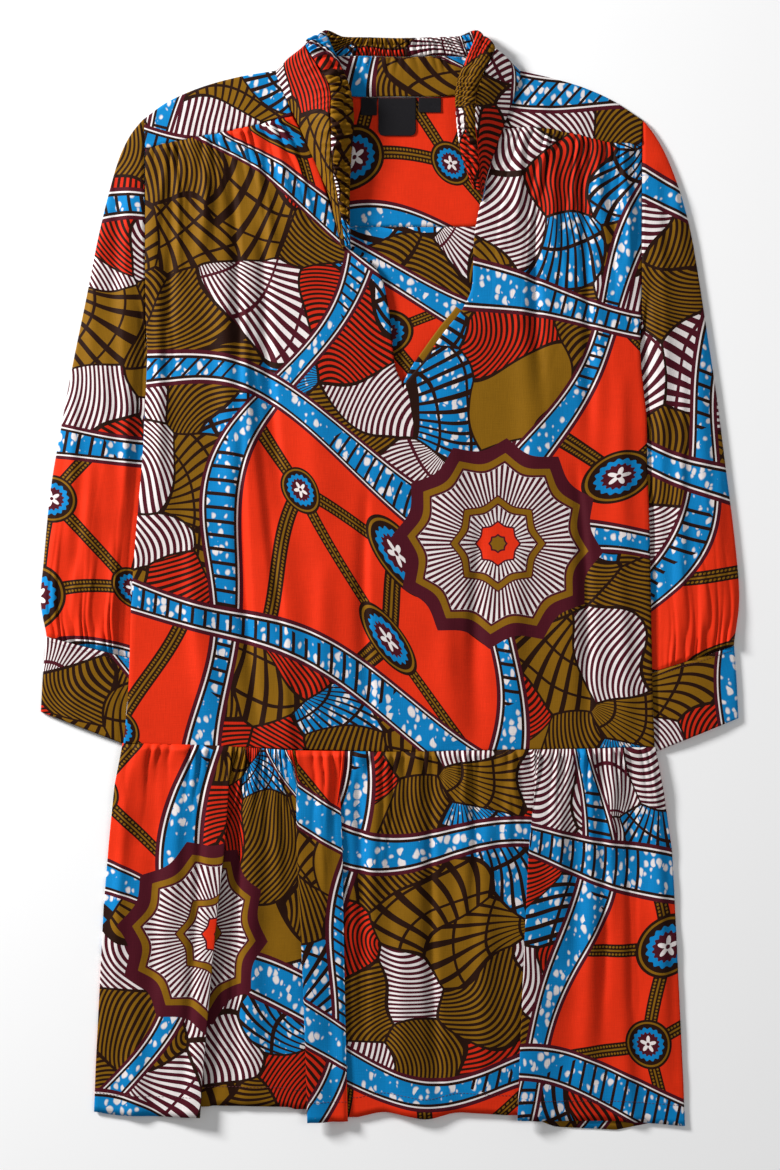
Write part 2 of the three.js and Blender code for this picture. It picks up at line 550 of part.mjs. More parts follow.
function makeSkirtBack() {
  const levels = [0, 0.045, 0.085, 0.13, 0.35, 0.6, 0.85, 1];
  return makeBackPanel("skirt_back", COLOURS.ochre, levels, (across, down) => {
    const flat = THREE.MathUtils.lerp(BACK_HEM_SPAN.left, BACK_HEM_SPAN.right, across);
    const y = THREE.MathUtils.lerp(waistY(across) - SEAM_GAP, read(BACK_HEM, "x", "y", flat), down);
    const { left, right } = sidesAt(y);
    return { x: THREE.MathUtils.lerp(left + BACK_SKIRT_INSET, right - BACK_SKIRT_INSET, across), y };
  });
}

function makeBackYoke() {
  const columns = 28;
  const top = curveOf(BACK_YOKE_TOP, "x", "y");
  const low = [0, 0.4, 0.75, 1].map((down) =>
    Array.from({ length: columns + 1 }, (_, c) => {
      const above = top.getPoint(c / columns);
      const seamX = THREE.MathUtils.lerp(ARMHOLE_LEFT, ARMHOLE_RIGHT, c / columns);
      const x = THREE.MathUtils.lerp(above.x, seamX, down);
      return new THREE.Vector3(x, THREE.MathUtils.lerp(above.y, BACK_YOKE_SEAM_Y, down), 0);
    }),
  );
  const high = low.map((row) => row.map((point) => point.clone().setZ(CLOTH)));
  const shape = { points: [], faces: [] };
  addWall(shape, high, low);
  return meshOf("back_yoke", COLOURS.vermilion, shape);
}

// The skirt front hangs from the dropped waist in small gathers, which open into a few large folds
function makeSkirtFront() {
  const stations = stationsOf([
    { from: 0, to: 0.07, rows: 2, columns: 160 },
    { from: 0.07, to: 0.18, rows: 2, columns: 80 },
    { from: 0.18, to: 0.94, rows: 7, columns: 54 },
    { from: 0.94, to: 1, rows: 1, columns: 54 },
    { from: 1, to: 1.1, rows: 1, columns: 54 },
  ]);
  const place = (across, down) => {
    const flat = THREE.MathUtils.lerp(FRONT_HEM_SPAN.left, FRONT_HEM_SPAN.right, across);
    const y = THREE.MathUtils.lerp(waistY(across) - SEAM_GAP, read(FRONT_HEM, "x", "y", flat), down);
    const { left, right } = sidesAt(y);
    return { x: THREE.MathUtils.lerp(left, right, across), y };
  };
  const gathers = (across, down) => {
    // Some gathers run farther down than others
    const uneven = 1 + 0.3 * Math.sin(across * 61) + 0.2 * Math.sin(across * 23);
    const reach = Math.exp(-(((down * SKIRT_RUN) / (WAIST_GATHERS.length * uneven)) ** 2));
    const ends = smooth(across / 0.03) * smooth((1 - across) / 0.03);
    return WAIST_GATHERS.height * reach * ends * gatherWave(across, WAIST_GATHERS.count);
  };
  const low = panelRows(stations, place, frontUnderside, gathers);
  const shape = { points: [], faces: [] };
  addWall(shape, raised(low, frontUnderside), low);
  return meshOf("skirt_front", COLOURS.ochre, shape);
}

// A flattened tube through the sections of a sleeve or cuff. Each station has its share down the tube,
// its count of points across one side, and its height by share across.
function makeTube(name, colour, table, stations, heightAt) {
  const outerEdge = curveOf(table, "outerX", "outerY");
  const innerEdge = curveOf(table, "innerX", "innerY");
  const bend = curveOf(table, "bow", "sag", "hidden");
  const outer = [];
  const inner = [];
  for (const { down, points } of stations) {
    const from = innerEdge.getPoint(down);
    const to = outerEdge.getPoint(down);
    const bow = bend.getPoint(down);
    const width = from.distanceTo(to);
    const place = (share, z) => {
      const point = from.clone().lerp(to, share);
      point.x += bow.x * 4 * share * (1 - share);
      point.y += bow.y * 4 * share * (1 - share);
      return point.setZ(z);
    };
    const ringOf = (inset, floor, roof) => {
      const margin = inset / width;
      const turn = (inset + FOLD_INSET) / width;
      const ring = [place(margin, SLEEVE_EDGE / 2)];
      for (let i = 0; i < points; i += 1) {
        ring.push(place(THREE.MathUtils.lerp(turn, 1 - turn, i / (points - 1)), floor));
      }
      ring.push(place(1 - margin, SLEEVE_EDGE / 2));
      for (let i = points - 1; i >= 0; i -= 1) {
        const share = THREE.MathUtils.lerp(turn, 1 - turn, i / (points - 1));
        ring.push(place(share, heightAt(share, down, bow.z) - roof));
      }
      return ring;
    };
    outer.push(ringOf(0, 0, 0));
    inner.push(ringOf(CLOTH, CLOTH, CLOTH));
  }
  const shape = { points: [], faces: [] };
  addWall(shape, outer, inner, { closed: true });
  return meshOf(name, colour, shape);
}

// Height of a flattened tube: it stays thin beneath the body and swells beside it
function tubeHeight(share, hidden, rise) {
  const shown = THREE.MathUtils.clamp((share - hidden) / (1 - hidden), 0, 1);
  return SLEEVE_EDGE + rise * Math.sqrt(Math.max(0, Math.sin(Math.PI * shown)));
}

function makeSleeve(name, table) {
  const stations = [0, 0.09, 0.18, 0.27, 0.38, 0.5, 0.62, 0.74, 0.84].map((down) => ({ down, points: 13 }));
  stations.push({ down: 0.91, points: 27 }, { down: 0.96, points: 27 }, { down: 1, points: 27 });
  return makeTube(name, COLOURS.blue, table, stations, (share, down, hidden) => {
    const reach = smooth((down - 1 + CUFF_GATHERS.length) / CUFF_GATHERS.length);
    const shown = smooth((share - hidden) / 0.12) * smooth((1 - share) / 0.08);
    const wave = CUFF_GATHERS.height * reach * shown * gatherWave(share, CUFF_GATHERS.count);
    return tubeHeight(share, hidden, SLEEVE_RISE - 1.2 * reach) + wave;
  });
}

function makeCuff(name, table) {
  const stations = [0, 0.33, 0.67, 1].map((down) => ({ down, points: 13 }));
  return makeTube(name, COLOURS.ochre, table, stations, (share, down, hidden) =>
    tubeHeight(share, hidden, CUFF_RISE),
  );
}

// The surface of collar and casing: "round" runs from end to end, "up" is 0 at the seam, 1 at the roll
// and 2 at the free edge
const collarSeam = curveOf(COLLAR, "seamX", "seamY", "seamZ");
const collarRoll = curveOf(COLLAR, "rollX", "rollY", "rollZ");
const collarEdge = curveOf(COLLAR, "edgeX", "edgeY", "edgeZ");

function collarPoint(round, up) {
  const section = [collarSeam, collarRoll, collarEdge].map((line) => line.getPoint(round));
  return new THREE.CatmullRomCurve3(section, false, "catmullrom", 0.5).getPoint(up / 2);
}

function collarNormal(round, up) {
  const step = 0.004;
  const along = collarPoint(Math.min(1, round + step), up).sub(collarPoint(Math.max(0, round - step), up));
  const across = collarPoint(round, Math.min(2, up + 0.05)).sub(collarPoint(round, Math.max(0, up - 0.05)));
  return new THREE.Vector3().crossVectors(along, across).normalize();
}

// A band of the collar's surface as a wall, raised by a wave where it is shirred
function makeCollarBand(name, colour, columns, ups, wave) {
  const outer = [];
  const inner = [];
  for (const up of ups) {
    const outerRow = [];
    const innerRow = [];
    for (let c = 0; c <= columns; c += 1) {
      const round = c / columns;
      const normal = collarNormal(round, up);
      const middle = collarPoint(round, up).addScaledVector(normal, wave(round, up));
      outerRow.push(middle.clone().addScaledVector(normal, CLOTH / 2));
      innerRow.push(middle.clone().addScaledVector(normal, -CLOTH / 2));
    }
    outer.push(outerRow);
    inner.push(innerRow);
  }
  const shape = { points: [], faces: [] };
  addWall(shape, outer, inner);
  return meshOf(name, colour, shape);
}

function makeCollar() {
  return makeCollarBand("collar", COLOURS.vermilion, 60, [0, 0.3, 0.6, 0.8, 0.96], () => 0);
}

function makeCollarCasing() {
  const wave = (round, up) => {
    const ends = smooth(round / 0.03) * smooth((1 - round) / 0.03);
    const shirred = smooth((up - 0.9) / 0.4);
    return CASING_GATHERS.height * ends * shirred * (gatherWave(round, CASING_GATHERS.count) - 0.4);
  };
  return makeCollarBand("collar_casing", COLOURS.ochre, CASING_GATHERS.count * 3, [1.04, 1.5, 2], wave);
}

// The turned facing that shows inside the slit, along the foot of its right edge
function makeSlitFacing() {
  const edge = curveOf(BODICE_ROWS, "neckRightX", "neckRightY");
  const from = 8 / BODICE_STEPS;
  const to = 10.9 / BODICE_STEPS;
  const shown = 6;
  const covered = 3;
  const low = [];
  for (let i = 0; i <= 10; i += 1) {
    const point = edge.getPoint(THREE.MathUtils.lerp(from, to, i / 10));
    const along = edge.getTangent(THREE.MathUtils.lerp(from, to, i / 10));
    const inward = new THREE.Vector3(along.y, -along.x, 0).normalize();
    if (inward.x > 0) inward.negate();
    const narrow = 1 - 0.75 * smooth((i - 7) / 3);
    low.push(
      [-covered, 0, shown * narrow].map((offset) => {
        const place = point.clone().addScaledVector(inward, offset);
        return place.setZ(frontUnderside(place.x, place.y) - SEAM_GAP - CLOTH * 1.05);
      }),
    );
  }
  const high = low.map((row) => row.map((point) => point.clone().setZ(point.z + CLOTH)));
  const shape = { points: [], faces: [] };
  addWall(shape, high, low);
  return meshOf("slit_facing", COLOURS.vermilion, shape);
}

// A woven label on the back yoke, with its lower corners rounded off where "corner" asks for it
function makeLabel({ name, left, right, drop, corner }) {
  const middle = (left + right) / 2;
  const half = (right - left) / 2;
  const rowAt = (down, inset, z) =>
    [-1, -0.5, 0, 0.5, 1].map(
      (side) => new THREE.Vector3(middle + side * (half - inset), LABEL_TOP_Y - down, z),
    );
  const ends = corner ? [[drop - corner, 0], [drop - corner * 0.3, corner * 0.3], [drop, corner]] : [[drop, 0]];
  const profile = [[0, 0], [drop / 2, 0], ...ends];
  const rest = CLOTH + SEAM_GAP;
  const low = profile.map(([down, inset]) => rowAt(down, inset, rest));
  const high = profile.map(([down, inset]) => rowAt(down, inset, rest + LABEL_THICKNESS));
  const shape = { points: [], faces: [] };
  addWall(shape, high, low);
  return meshOf(name, COLOURS.black, shape);
}

const tunic = new THREE.Group();
tunic.add(
  makeFrontBodice(),
  makeFrontYoke("front_yoke_left", LEFT_YOKE),
  makeFrontYoke("front_yoke_right", RIGHT_YOKE),
  makeBackYoke(),
  makeBackBodice(),
  makeSkirtFront(),
  makeSkirtBack(),
  makeSleeve("sleeve_left", LEFT_SLEEVE),
  makeSleeve("sleeve_right", RIGHT_SLEEVE),
  makeCuff("cuff_left", LEFT_CUFF),
  makeCuff("cuff_right", RIGHT_CUFF),
  makeCollar(),
  makeCollarCasing(),
  makeSlitFacing(),
  ...LABELS.map(makeLabel),
);

// The frame's origin lies under the middle of the laid-out tunic
const bounds = new THREE.Box3().setFromObject(tunic);
const centre = bounds.getCenter(new THREE.Vector3());
tunic.position.set(-centre.x, -centre.y, -bounds.min.z);

const group = new THREE.Group();
group.add(tunic);

export default group;
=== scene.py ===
import math

import bpy
import numpy as np
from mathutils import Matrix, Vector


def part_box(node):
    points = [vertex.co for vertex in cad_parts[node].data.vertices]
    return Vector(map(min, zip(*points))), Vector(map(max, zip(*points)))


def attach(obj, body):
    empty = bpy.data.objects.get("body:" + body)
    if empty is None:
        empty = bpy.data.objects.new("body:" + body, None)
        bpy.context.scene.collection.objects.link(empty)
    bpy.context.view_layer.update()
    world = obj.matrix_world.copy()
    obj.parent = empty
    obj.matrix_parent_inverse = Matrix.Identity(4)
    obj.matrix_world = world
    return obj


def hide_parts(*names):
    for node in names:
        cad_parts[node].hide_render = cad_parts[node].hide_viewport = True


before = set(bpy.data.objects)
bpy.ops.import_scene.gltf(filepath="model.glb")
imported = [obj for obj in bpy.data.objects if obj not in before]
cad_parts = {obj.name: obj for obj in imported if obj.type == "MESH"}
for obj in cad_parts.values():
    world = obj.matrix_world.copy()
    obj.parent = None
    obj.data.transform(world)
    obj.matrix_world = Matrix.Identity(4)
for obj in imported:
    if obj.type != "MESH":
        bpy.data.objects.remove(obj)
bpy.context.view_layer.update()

# A cotton tunic with a dropped waist, laid flat on its back. Lengths are millimetres on the pattern
# table: +X to the right of the garment as seen from above, +Y to the collar, +Z up off the surface.
MM = 0.001
CLOTH = 1.2  # height that one layer takes up
SHELL = 0.7  # thickness of the cotton that shows
SEAM_GAP = 0.3
ARMHOLE_LEFT = -222.3
ARMHOLE_RIGHT = 228.4
BACK_YOKE_SEAM_Y = 322.3
SLEEVE_EDGE = 3.0
SLEEVE_RISE = 3.2
CUFF_RISE = 2.0
HALF_WIDTH = 230  # of the body
HEM_DEPTH = 15.0
SKIRT_TOP, SKIRT_FOOT = -153.0, -486.0
CREASE_DEPTH = 1.5  # of the creases of the front, as a multiple of the heights in their tables
SEAM_REACH = 2.4  # how far from a seam the cloth begins to dip into it
SEAM_DIP = 0.9
SEAM_ROLL = 1.2  # how far a gathered edge rolls up over its seam
HEM_IN, HEM_OUT = 14, 10  # how far a lapped fold reaches at the hem, to its left and to its right
# How far the back is lifted where the sleeves pass beneath it, and where that begins and is full
BODY_LIFT = {
    "height": 3.3, "from": 186, "full": 200,
    "top": 240, "topFull": 227, "low": -186, "lowFull": -170,
}

# Labels hang from this line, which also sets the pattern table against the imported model
LABEL_TOP_Y = 439.4
MAIN_LABEL_LEFT = -10.6
label_low, label_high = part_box("label_main")
SHIFT = np.array([label_low[0] / MM - MAIN_LABEL_LEFT, label_high[1] / MM - LABEL_TOP_Y, 0.0])


def table(columns, *rows):
    """Rows of numbers under the names of their columns."""
    names = columns.split()
    return [dict(zip(names, row)) for row in rows]


def column(rows, name):
    return np.array([row[name] for row in rows], float)


# Height of the underside of the front over the surface, at the sides and in the middle
FRONT_RISE = table(
    "y side middle",
    (470, 2.8, 3.4), (424, 3.2, 4.4), (392, 4.0, 5.0), (330, 4.9, 5.1), (240, 5.0, 5.1),
    (-175, 5.0, 5.1), (-215, 3.6, 4.6), (-260, 2.0, 3.8), (-510, 1.7, 2.8),
)

# Soft folds of the front: the three points that each runs through, how high it is there, and how far
# it climbs from the left and falls to the right
FOLDS = table(
    "topX topY midX midY endX endY topRise midRise endRise climb fall",
    (-146, 405, -127, 138, -90, -152, 1, 3.4, 2.6, 34, 10),
    (-182, 394, -197, 322, -198, 240, 1.4, 2.4, 0, 12, 18),
    (133, 407, 130, 350, 124, 270, 1.6, 2.2, 0, 16, 12),
    (170, 400, 180, 290, 184, 60, 1, 2.2, 0, 20, 16),
    (-20, 90, -30, -30, -24, -150, 0, 1.2, 0.6, 38, 40),
    (160, 70, 166, -50, 170, -152, 0, 1.8, 1, 24, 22),
    (-226, -200, -230, -330, -232, -500, 0, 2, 2.6, 16, 18),
    (34, -156, 24, -320, 20, -500, 1, 3, 3.2, 26, 44),
    (214, -190, 216, -340, 218, -500, 0, 2.4, 3, 22, 16),
)

# Folds of the skirt front where the cloth lies over itself: the side that is on top (-1 left, 1 right),
# the cloth folded away on each side of the line, the height of the top layer and how far it climbs there
TUCKS = table(
    "topX topY midX midY endX endY onTop tucked height climb",
    (-141, -156, -160, -320, -175, -500, -1, 20, 6.6, 46),
    (-88, -156, -79, -320, -73, -500, 1, 19, 6.2, 42),
    (-45, -156, -43, -320, -39, -500, -1, 13, 3.0, 14),
    (132, -156, 124, -320, 117, -500, 1, 20, 6.2, 48),
)

# Rows of the bodice front from the yoke seam to the dropped waist: its sides, and its neckline and slit
BODICE_ROWS = table(
    "leftX leftY neckLeftX neckLeftY neckRightX neckRightY rightX rightY",
    (-222.3, 392.5, -88.3, 422.2, 102.8, 410.4, 228.4, 395.9),
    (-222.3, 372, -81.9, 411, 97, 396, 228.4, 374),
    (-222.3, 345, -72, 391, 91, 378, 228.4, 347),
    (-222.3, 318, -62.5, 367, 86, 357, 228.4, 320),
    (-222.3, 290, -52.5, 335, 80, 334, 228.4, 292),
    (-222.2, 262, -41, 305, 76, 308, 228.2, 264),
    (-222, 238, -20, 291, 75.5, 285, 227.8, 240),
    (-221, 222, -8, 276, 74, 265, 227.4, 224),
    (-220.4, 205, -2, 252, 65, 246, 227.4, 207),
    (-220.8, 188, 1.5, 222, 49, 226, 228.4, 190),
    (-222, 168, 5, 193, 29, 198, 231, 168),
    (-222.8, 148, 11.8, 174, 11.8, 174, 233, 148),
    (-225, 110, 11, 125, 11, 125, 233.6, 110),
    (-231, 40, 8, 45, 8, 45, 235.7, 45),
    (-235, -20, 5, -20, 5, -20, 237, -20),
    (-237.6, -98, 2, -100, 2, -100, 238.4, -98),
    (-242, -147.4, 0, -155.2, 0, -155.2, 240.2, -150.6),
)

# Shares of the way down those rows at which the slit ends, and between which its facing shows
SLIT_FOOT = 11 / 16
FACING_TOP, FACING_FOOT = 8 / 16, 10.9 / 16

# The two front yokes, from armhole to neck
LEFT_YOKE = table(
    "shoulderX shoulderY seamX seamY",
    (-223.6, 420.2, -222.3, 392.8),
    (-202, 435.6, -188, 400.4),
    (-172, 448.8, -155, 406.6),
    (-138, 458.2, -121, 414),
    (-103.5, 464.1, -88.6, 422.5),
)
RIGHT_YOKE = table(
    "shoulderX shoulderY seamX seamY",
    (229.8, 418.9, 228.4, 396.2),
    (203, 436.4, 198, 398.4),
    (176, 448.6, 167, 405.8),
    (146, 457.5, 135, 411.2),
    (117.4, 464.1, 103, 410.8),
)

BACK_YOKE_TOP = table(
    "x y",
    (-223.2, 419.6), (-200, 436), (-165, 450.2), (-132, 458.6), (-102, 462.8),
    (-76, 449), (-36, 441), (8, 440), (52, 441), (90, 447.4),
    (116, 462.4), (146, 456.8), (180, 446.2), (206, 434.2), (229.6, 418.2),
)

# Side edges of the back bodice and both skirts
SIDE_EDGES = table(
    "y left right",
    (322, -222.3, 228.4), (240, -222, 227.8), (205, -220.4, 227.4), (168, -222, 231), (110, -225, 233.6),
    (40, -231, 235.7), (-20, -235, 237), (-98, -237.6, 238.4), (-148, -242, 240.2), (-190, -250.2, 248.4),
    (-244, -255.7, 256.4), (-299, -260.3, 259.4), (-372, -263.9, 263), (-445, -267.6, 266.6),
    (-496, -269.4, 268.5),
)
WAIST_SEAM = table(
    "share y",
    (0, -148), (0.16, -149.8), (0.32, -154.6), (0.5, -155.9), (0.88, -153), (1, -151.2),
)
FRONT_HEM = table(
    "x y",
    (-269.4, -482), (-250, -485.6), (-177, -487), (-167, -476.4), (-86, -478), (-75, -492.2), (-40, -489.6),
    (-6, -481.6), (34, -489.6), (60, -482.4), (106, -485.4), (130, -490.4), (212, -490.6), (268.5, -495.6),
)
BACK_HEM = table(
    "x y",
    (-269, -474), (-100, -470), (90, -474), (150, -496.4), (205, -499.2), (240, -492), (268, -488),
)

# Sections of the sleeves and cuffs: the fold beneath the body, the fold at the silhouette, how the
# middle of the section moves, and the share of it that lies beneath the body
LEFT_SLEEVE = table(
    "outerX outerY innerX innerY bow sag hidden",
    (-224.4, 420.2, -222.8, 225, 0, 0, 0),
    (-236, 405.5, -221.6, 215, -1.8, -5, 0.06),
    (-246, 385, -214, 196, -5, -7.7, 0.2),
    (-255, 355, -209.5, 170, -4, -9, 0.25),
    (-265.4, 312, -206.5, 138, -2, -3, 0.29),
    (-276, 258, -205.5, 108, 0, 0, 0.3),
    (-287.5, 202, -205.5, 75, 0, 0, 0.3),
    (-299, 140, -206.5, 42, 0, 0, 0.29),
    (-308.5, 84, -208, 10, 0, 0, 0.29),
    (-314.6, 22, -209.5, -22, 0, 0, 0.29),
    (-317.6, -18, -211, -46, 0, 0, 0.29),
    (-312.4, -49.4, -213, -74.8, 0, 0, 0.3),
)
RIGHT_SLEEVE = table(
    "outerX outerY innerX innerY bow sag hidden",
    (230.4, 419, 228.9, 225, 0, 0, 0),
    (241, 405, 227.6, 215, 1.8, -5, 0.06),
    (251.5, 386, 219, 196, 5, -7.7, 0.26),
    (263.3, 355, 214, 170, 4, -9, 0.32),
    (273.3, 318, 210, 138, 2, -3, 0.37),
    (280.8, 275, 209, 108, 0, 0, 0.36),
    (288.9, 222, 209, 75, 0, 0, 0.35),
    (297.5, 165, 209, 42, 0, 0, 0.33),
    (305.7, 100, 210, 8, 0, 0, 0.32),
    (313, 42, 211, -26, 0, 0, 0.31),
    (317.6, -14, 212, -56, 0, 0, 0.31),
    (312.8, -57.6, 213, -90.4, 0, 0, 0.31),
)
LEFT_CUFF = table(
    "outerX outerY innerX innerY bow sag hidden",
    (-312.6, -50.8, -213.2, -76.3, 0, 0, 0.31),
    (-315.8, -86, -213, -118, 0, 0, 0.31),
    (-317.6, -118.8, -213, -159.5, 0, 0, 0.31),
)
RIGHT_CUFF = table(
    "outerX outerY innerX innerY bow sag hidden",
    (313, -59, 213.2, -91.9, 0, 0, 0.3),
    (315.4, -94, 213, -130, 0, 0, 0.3),
    (316.8, -124.6, 213, -167, 0, 0, 0.3),
)

# The standing collar from its left front end round the neck to its right end: its seam, the roll that
# it rises to, and the free edge of the shirred casing that falls inward from there
COLLAR = table(
    "seamX seamY seamZ rollX rollY rollZ edgeX edgeY edgeZ",
    (-44, 302, 7.3, -40.5, 303.4, 8.4, -36, 305, 8.2),
    (-54.2, 346.7, 7.3, -47, 347, 12, -36.6, 347.6, 9.6),
    (-64.5, 372.2, 7.3, -52, 375.8, 17, -35.5, 378.6, 11),
    (-81.9, 412.2, 7.3, -53.7, 417.7, 21, -32.8, 419.5, 13),
    (-92.8, 435, 7.2, -55, 448.6, 18, -38.2, 452, 12.5),
    (-102.8, 463.2, 4.8, -76.4, 486.2, 8.8, -57, 496.8, 8),
    (-77.4, 449.8, 2.6, -54.6, 478, 3, -42, 494.6, 3.6),
    (-36.4, 441, 2.3, -22.8, 477.8, 2.6, -19, 494.1, 3),
    (7.3, 440.6, 2.3, 7.3, 476.8, 2.6, 8.2, 493.4, 3),
    (51, 441, 2.3, 43.5, 477.8, 2.6, 38, 494.1, 3),
    (91, 448, 2.6, 72.8, 477.4, 3, 62, 495, 3.6),
    (117.4, 463.2, 4.8, 94.6, 484.6, 8.8, 78, 496.8, 8),
    (111, 435, 7.2, 79.5, 447.4, 18, 61, 452, 12.5),
    (100.1, 405.9, 7.3, 76.4, 417.7, 20, 60, 421.3, 13),
    (91, 376.7, 7.3, 80.1, 386, 14, 64.5, 387.7, 11),
    (84, 345, 7.3, 82, 352, 8.8, 75, 356, 8.6),
)

# Labels: their left and right edges, how far they hang and the radius of their lower corners
LABELS = {
    "label_size": {"left": -26.4, "right": -11.8, "drop": 16, "corner": 0.8},
    "label_main": {"left": -10.6, "right": 23.6, "drop": 34.6, "corner": 5},
    "label_origin": {"left": 26, "right": 46.4, "drop": 13.4, "corner": 0.8},
}


# Curves and soft shapes

def smooth(t):
    held = np.clip(t, 0, 1)
    return held * held * (3 - 2 * held)


def near(distance, reach):
    """1 at an edge or seam, and 0 from the reach given on."""
    return 1 - smooth(distance / reach)


def mix(start, end, t):
    return start + (end - start) * t


def hermite(start, leave, end, arrive, s):
    """A point between two others, from the ways in which the curve leaves the first and arrives."""
    return (
        (2 * s**3 - 3 * s**2 + 1) * start
        + (s**3 - 2 * s**2 + s) * leave
        + (3 * s**2 - 2 * s**3) * end
        + (s**3 - s**2) * arrive
    )


def read(rows, by, name, at):
    """A column of a table, read between its rows."""
    keys, values = column(rows, by), column(rows, name)
    if keys[-1] < keys[0]:
        keys, values = keys[::-1], values[::-1]
    return np.interp(at, keys, values)


def sides_at(y):
    return read(SIDE_EDGES, "y", "left", y), read(SIDE_EDGES, "y", "right", y)


def curve(rows, names, t):
    """Points of a smooth curve through the rows of a table, for t from 0 to 1."""
    points = np.stack([column(rows, name) for name in names.split()], axis=1)
    padded = np.vstack([2 * points[0] - points[1], points, 2 * points[-1] - points[-2]])
    place = np.clip(t, 0, 1) * (len(points) - 1)
    i = np.minimum(place.astype(int), len(points) - 2)
    s = (place - i)[..., None]
    before, start, end, after = (padded[i + k] for k in range(4))
    return hermite(start, (end - before) / 2, end, (after - start) / 2, s)


def spaced(rows, first, second, count, crowding=0.12):
    """The shares down a table at which to put the rows of a piece: evenly spaced along the line midway
    between two of its lines, but closer towards both ends."""
    t = np.linspace(0, 1, 2000)
    line = (curve(rows, first, t) + curve(rows, second, t)) / 2
    run = np.concatenate([[0], np.cumsum(np.linalg.norm(np.diff(line, axis=0), axis=1))])
    place = np.linspace(0, 1, count)
    place = place - crowding * np.sin(2 * np.pi * place)
    return np.interp(place * run[-1], run, t)


def run_down(points):
    """How far each point of a grid lies from its first row, along its column."""
    steps = np.linalg.norm(np.diff(points[..., :2], axis=0), axis=2)
    return np.vstack([np.zeros(points.shape[1]), np.cumsum(steps, axis=0)])


def undulation(x, y, size, seed):
    """Low uneven waves between about -1 and 1."""
    chance = np.random.default_rng(seed)
    total = np.zeros_like(x)
    for _ in range(7):
        angle, phase = chance.uniform(0, 2 * np.pi, 2)
        length = size * chance.uniform(0.6, 1.8)
        across = (x * np.cos(angle) + y * np.sin(angle)) / length
        total += np.sin(2 * np.pi * across + phase + 0.9 * np.sin((x - y) / (1.7 * size) + phase))
    return total / 3.2


def creases(x, y, rows):
    """Height that creases add. Each runs between two points, swings aside by its bend on the way, and
    has its own width on the left and on the right of that way."""
    total = np.zeros_like(x)
    for c in rows:
        dx, dy = c["toX"] - c["fromX"], c["toY"] - c["fromY"]
        length = math.hypot(dx, dy)
        t = ((x - c["fromX"]) * dx + (y - c["fromY"]) * dy) / length**2
        held = np.clip(t, 0, 1)
        aside = ((x - c["fromX"]) * dy - (y - c["fromY"]) * dx) / length - c["bend"] * 4 * held * (1 - held)
        width = np.where(aside < 0, c["left"], c["right"]) * (0.75 + 0.5 * held)
        total += c["height"] * np.exp(-((aside / width) ** 2)) * np.sin(np.pi * held) ** 0.8
    return total


def gathers(share, run, count, height, length, seed):
    """Ridges that fan out from a gathered seam. Each has its own height and length, and the valleys
    between them are sharp."""
    chance = np.random.default_rng(seed)
    wander = 0.3 * np.sin(share * count * 1.9 + 1) + 0.16 * np.sin(run / 15 + share * 37) * smooth(run / 25)
    phase = share * count + wander
    number = np.clip(np.floor(phase).astype(int), 0, count + 1)
    tall = chance.uniform(0.35, 1.1, count + 2)[number]
    reach = length * (0.35 + 1.3 * chance.uniform(0, 1, count + 2)[number] ** 2)
    ridge = np.abs(np.sin(np.pi * phase)) ** 0.62
    return height * tall * ridge * smooth(0.3 + run / 6) * np.exp(-((run / reach) ** 1.3))


def crest_of(fold, y):
    """Where a fold's crest runs at a height y, and how far down the fold that is."""
    t = (fold["topY"] - y) / (fold["topY"] - fold["endY"])
    middle = (fold["topY"] - fold["midY"]) / (fold["topY"] - fold["endY"])
    lean = (fold["midX"] - mix(fold["topX"], fold["endX"], middle)) / (middle * (1 - middle))
    return mix(fold["topX"], fold["endX"], t) + lean * t * (1 - t), t, middle


def front_under(x, y):
    """Height of the underside of the front over the surface, without its gathers."""
    side = read(FRONT_RISE, "y", "side", y)
    middle = read(FRONT_RISE, "y", "middle", y)
    height = mix(middle, side, np.minimum(1, (x / HALF_WIDTH) ** 2))
    for fold in FOLDS:
        crest, t, at_middle = crest_of(fold, y)
        upper = mix(fold["topRise"], fold["midRise"], smooth(t / at_middle))
        rise = mix(upper, fold["endRise"], smooth((t - at_middle) / (1 - at_middle)))
        reach = np.where(x < crest, fold["climb"], fold["fall"])
        within = smooth((t + 0.09) / 0.06) * smooth((1.09 - t) / 0.06)
        height = height + rise * near(np.abs(x - crest), reach) * within
    return height


def back_under(x, y):
    """Height of the underside of the back: it rises where the sleeves pass beneath."""
    across = smooth((np.abs(x) - BODY_LIFT["from"]) / (BODY_LIFT["full"] - BODY_LIFT["from"]))
    above = smooth((BODY_LIFT["top"] - y) / (BODY_LIFT["top"] - BODY_LIFT["topFull"]))
    below = smooth((y - BODY_LIFT["low"]) / (BODY_LIFT["lowFull"] - BODY_LIFT["low"]))
    return BODY_LIFT["height"] * across * above * below


def over_back(x, y):
    """The least height of the upper face of a front panel, which lies on the back."""
    return back_under(x, y) + CLOTH + SHELL + 0.2


# Building the pieces

def quads(grid):
    corners = [grid[:-1, :-1], grid[1:, :-1], grid[1:, 1:], grid[:-1, 1:]]
    return np.stack(corners, axis=-1).reshape(-1, 4)


def strip(first, second):
    return np.stack([first[:-1], first[1:], second[1:], second[:-1]], axis=-1)


def laid_out(name, points, faces):
    """A piece in the scene from its points, in millimetres on the pattern table, and its faces."""
    mesh = bpy.data.meshes.new(name)
    mesh.from_pydata(((points + SHIFT) * MM).tolist(), [], faces)
    mesh.polygons.foreach_set("use_smooth", np.ones(len(faces), bool))
    mesh.update()
    piece = bpy.data.objects.new(name, mesh)
    bpy.context.scene.collection.objects.link(piece)
    return piece


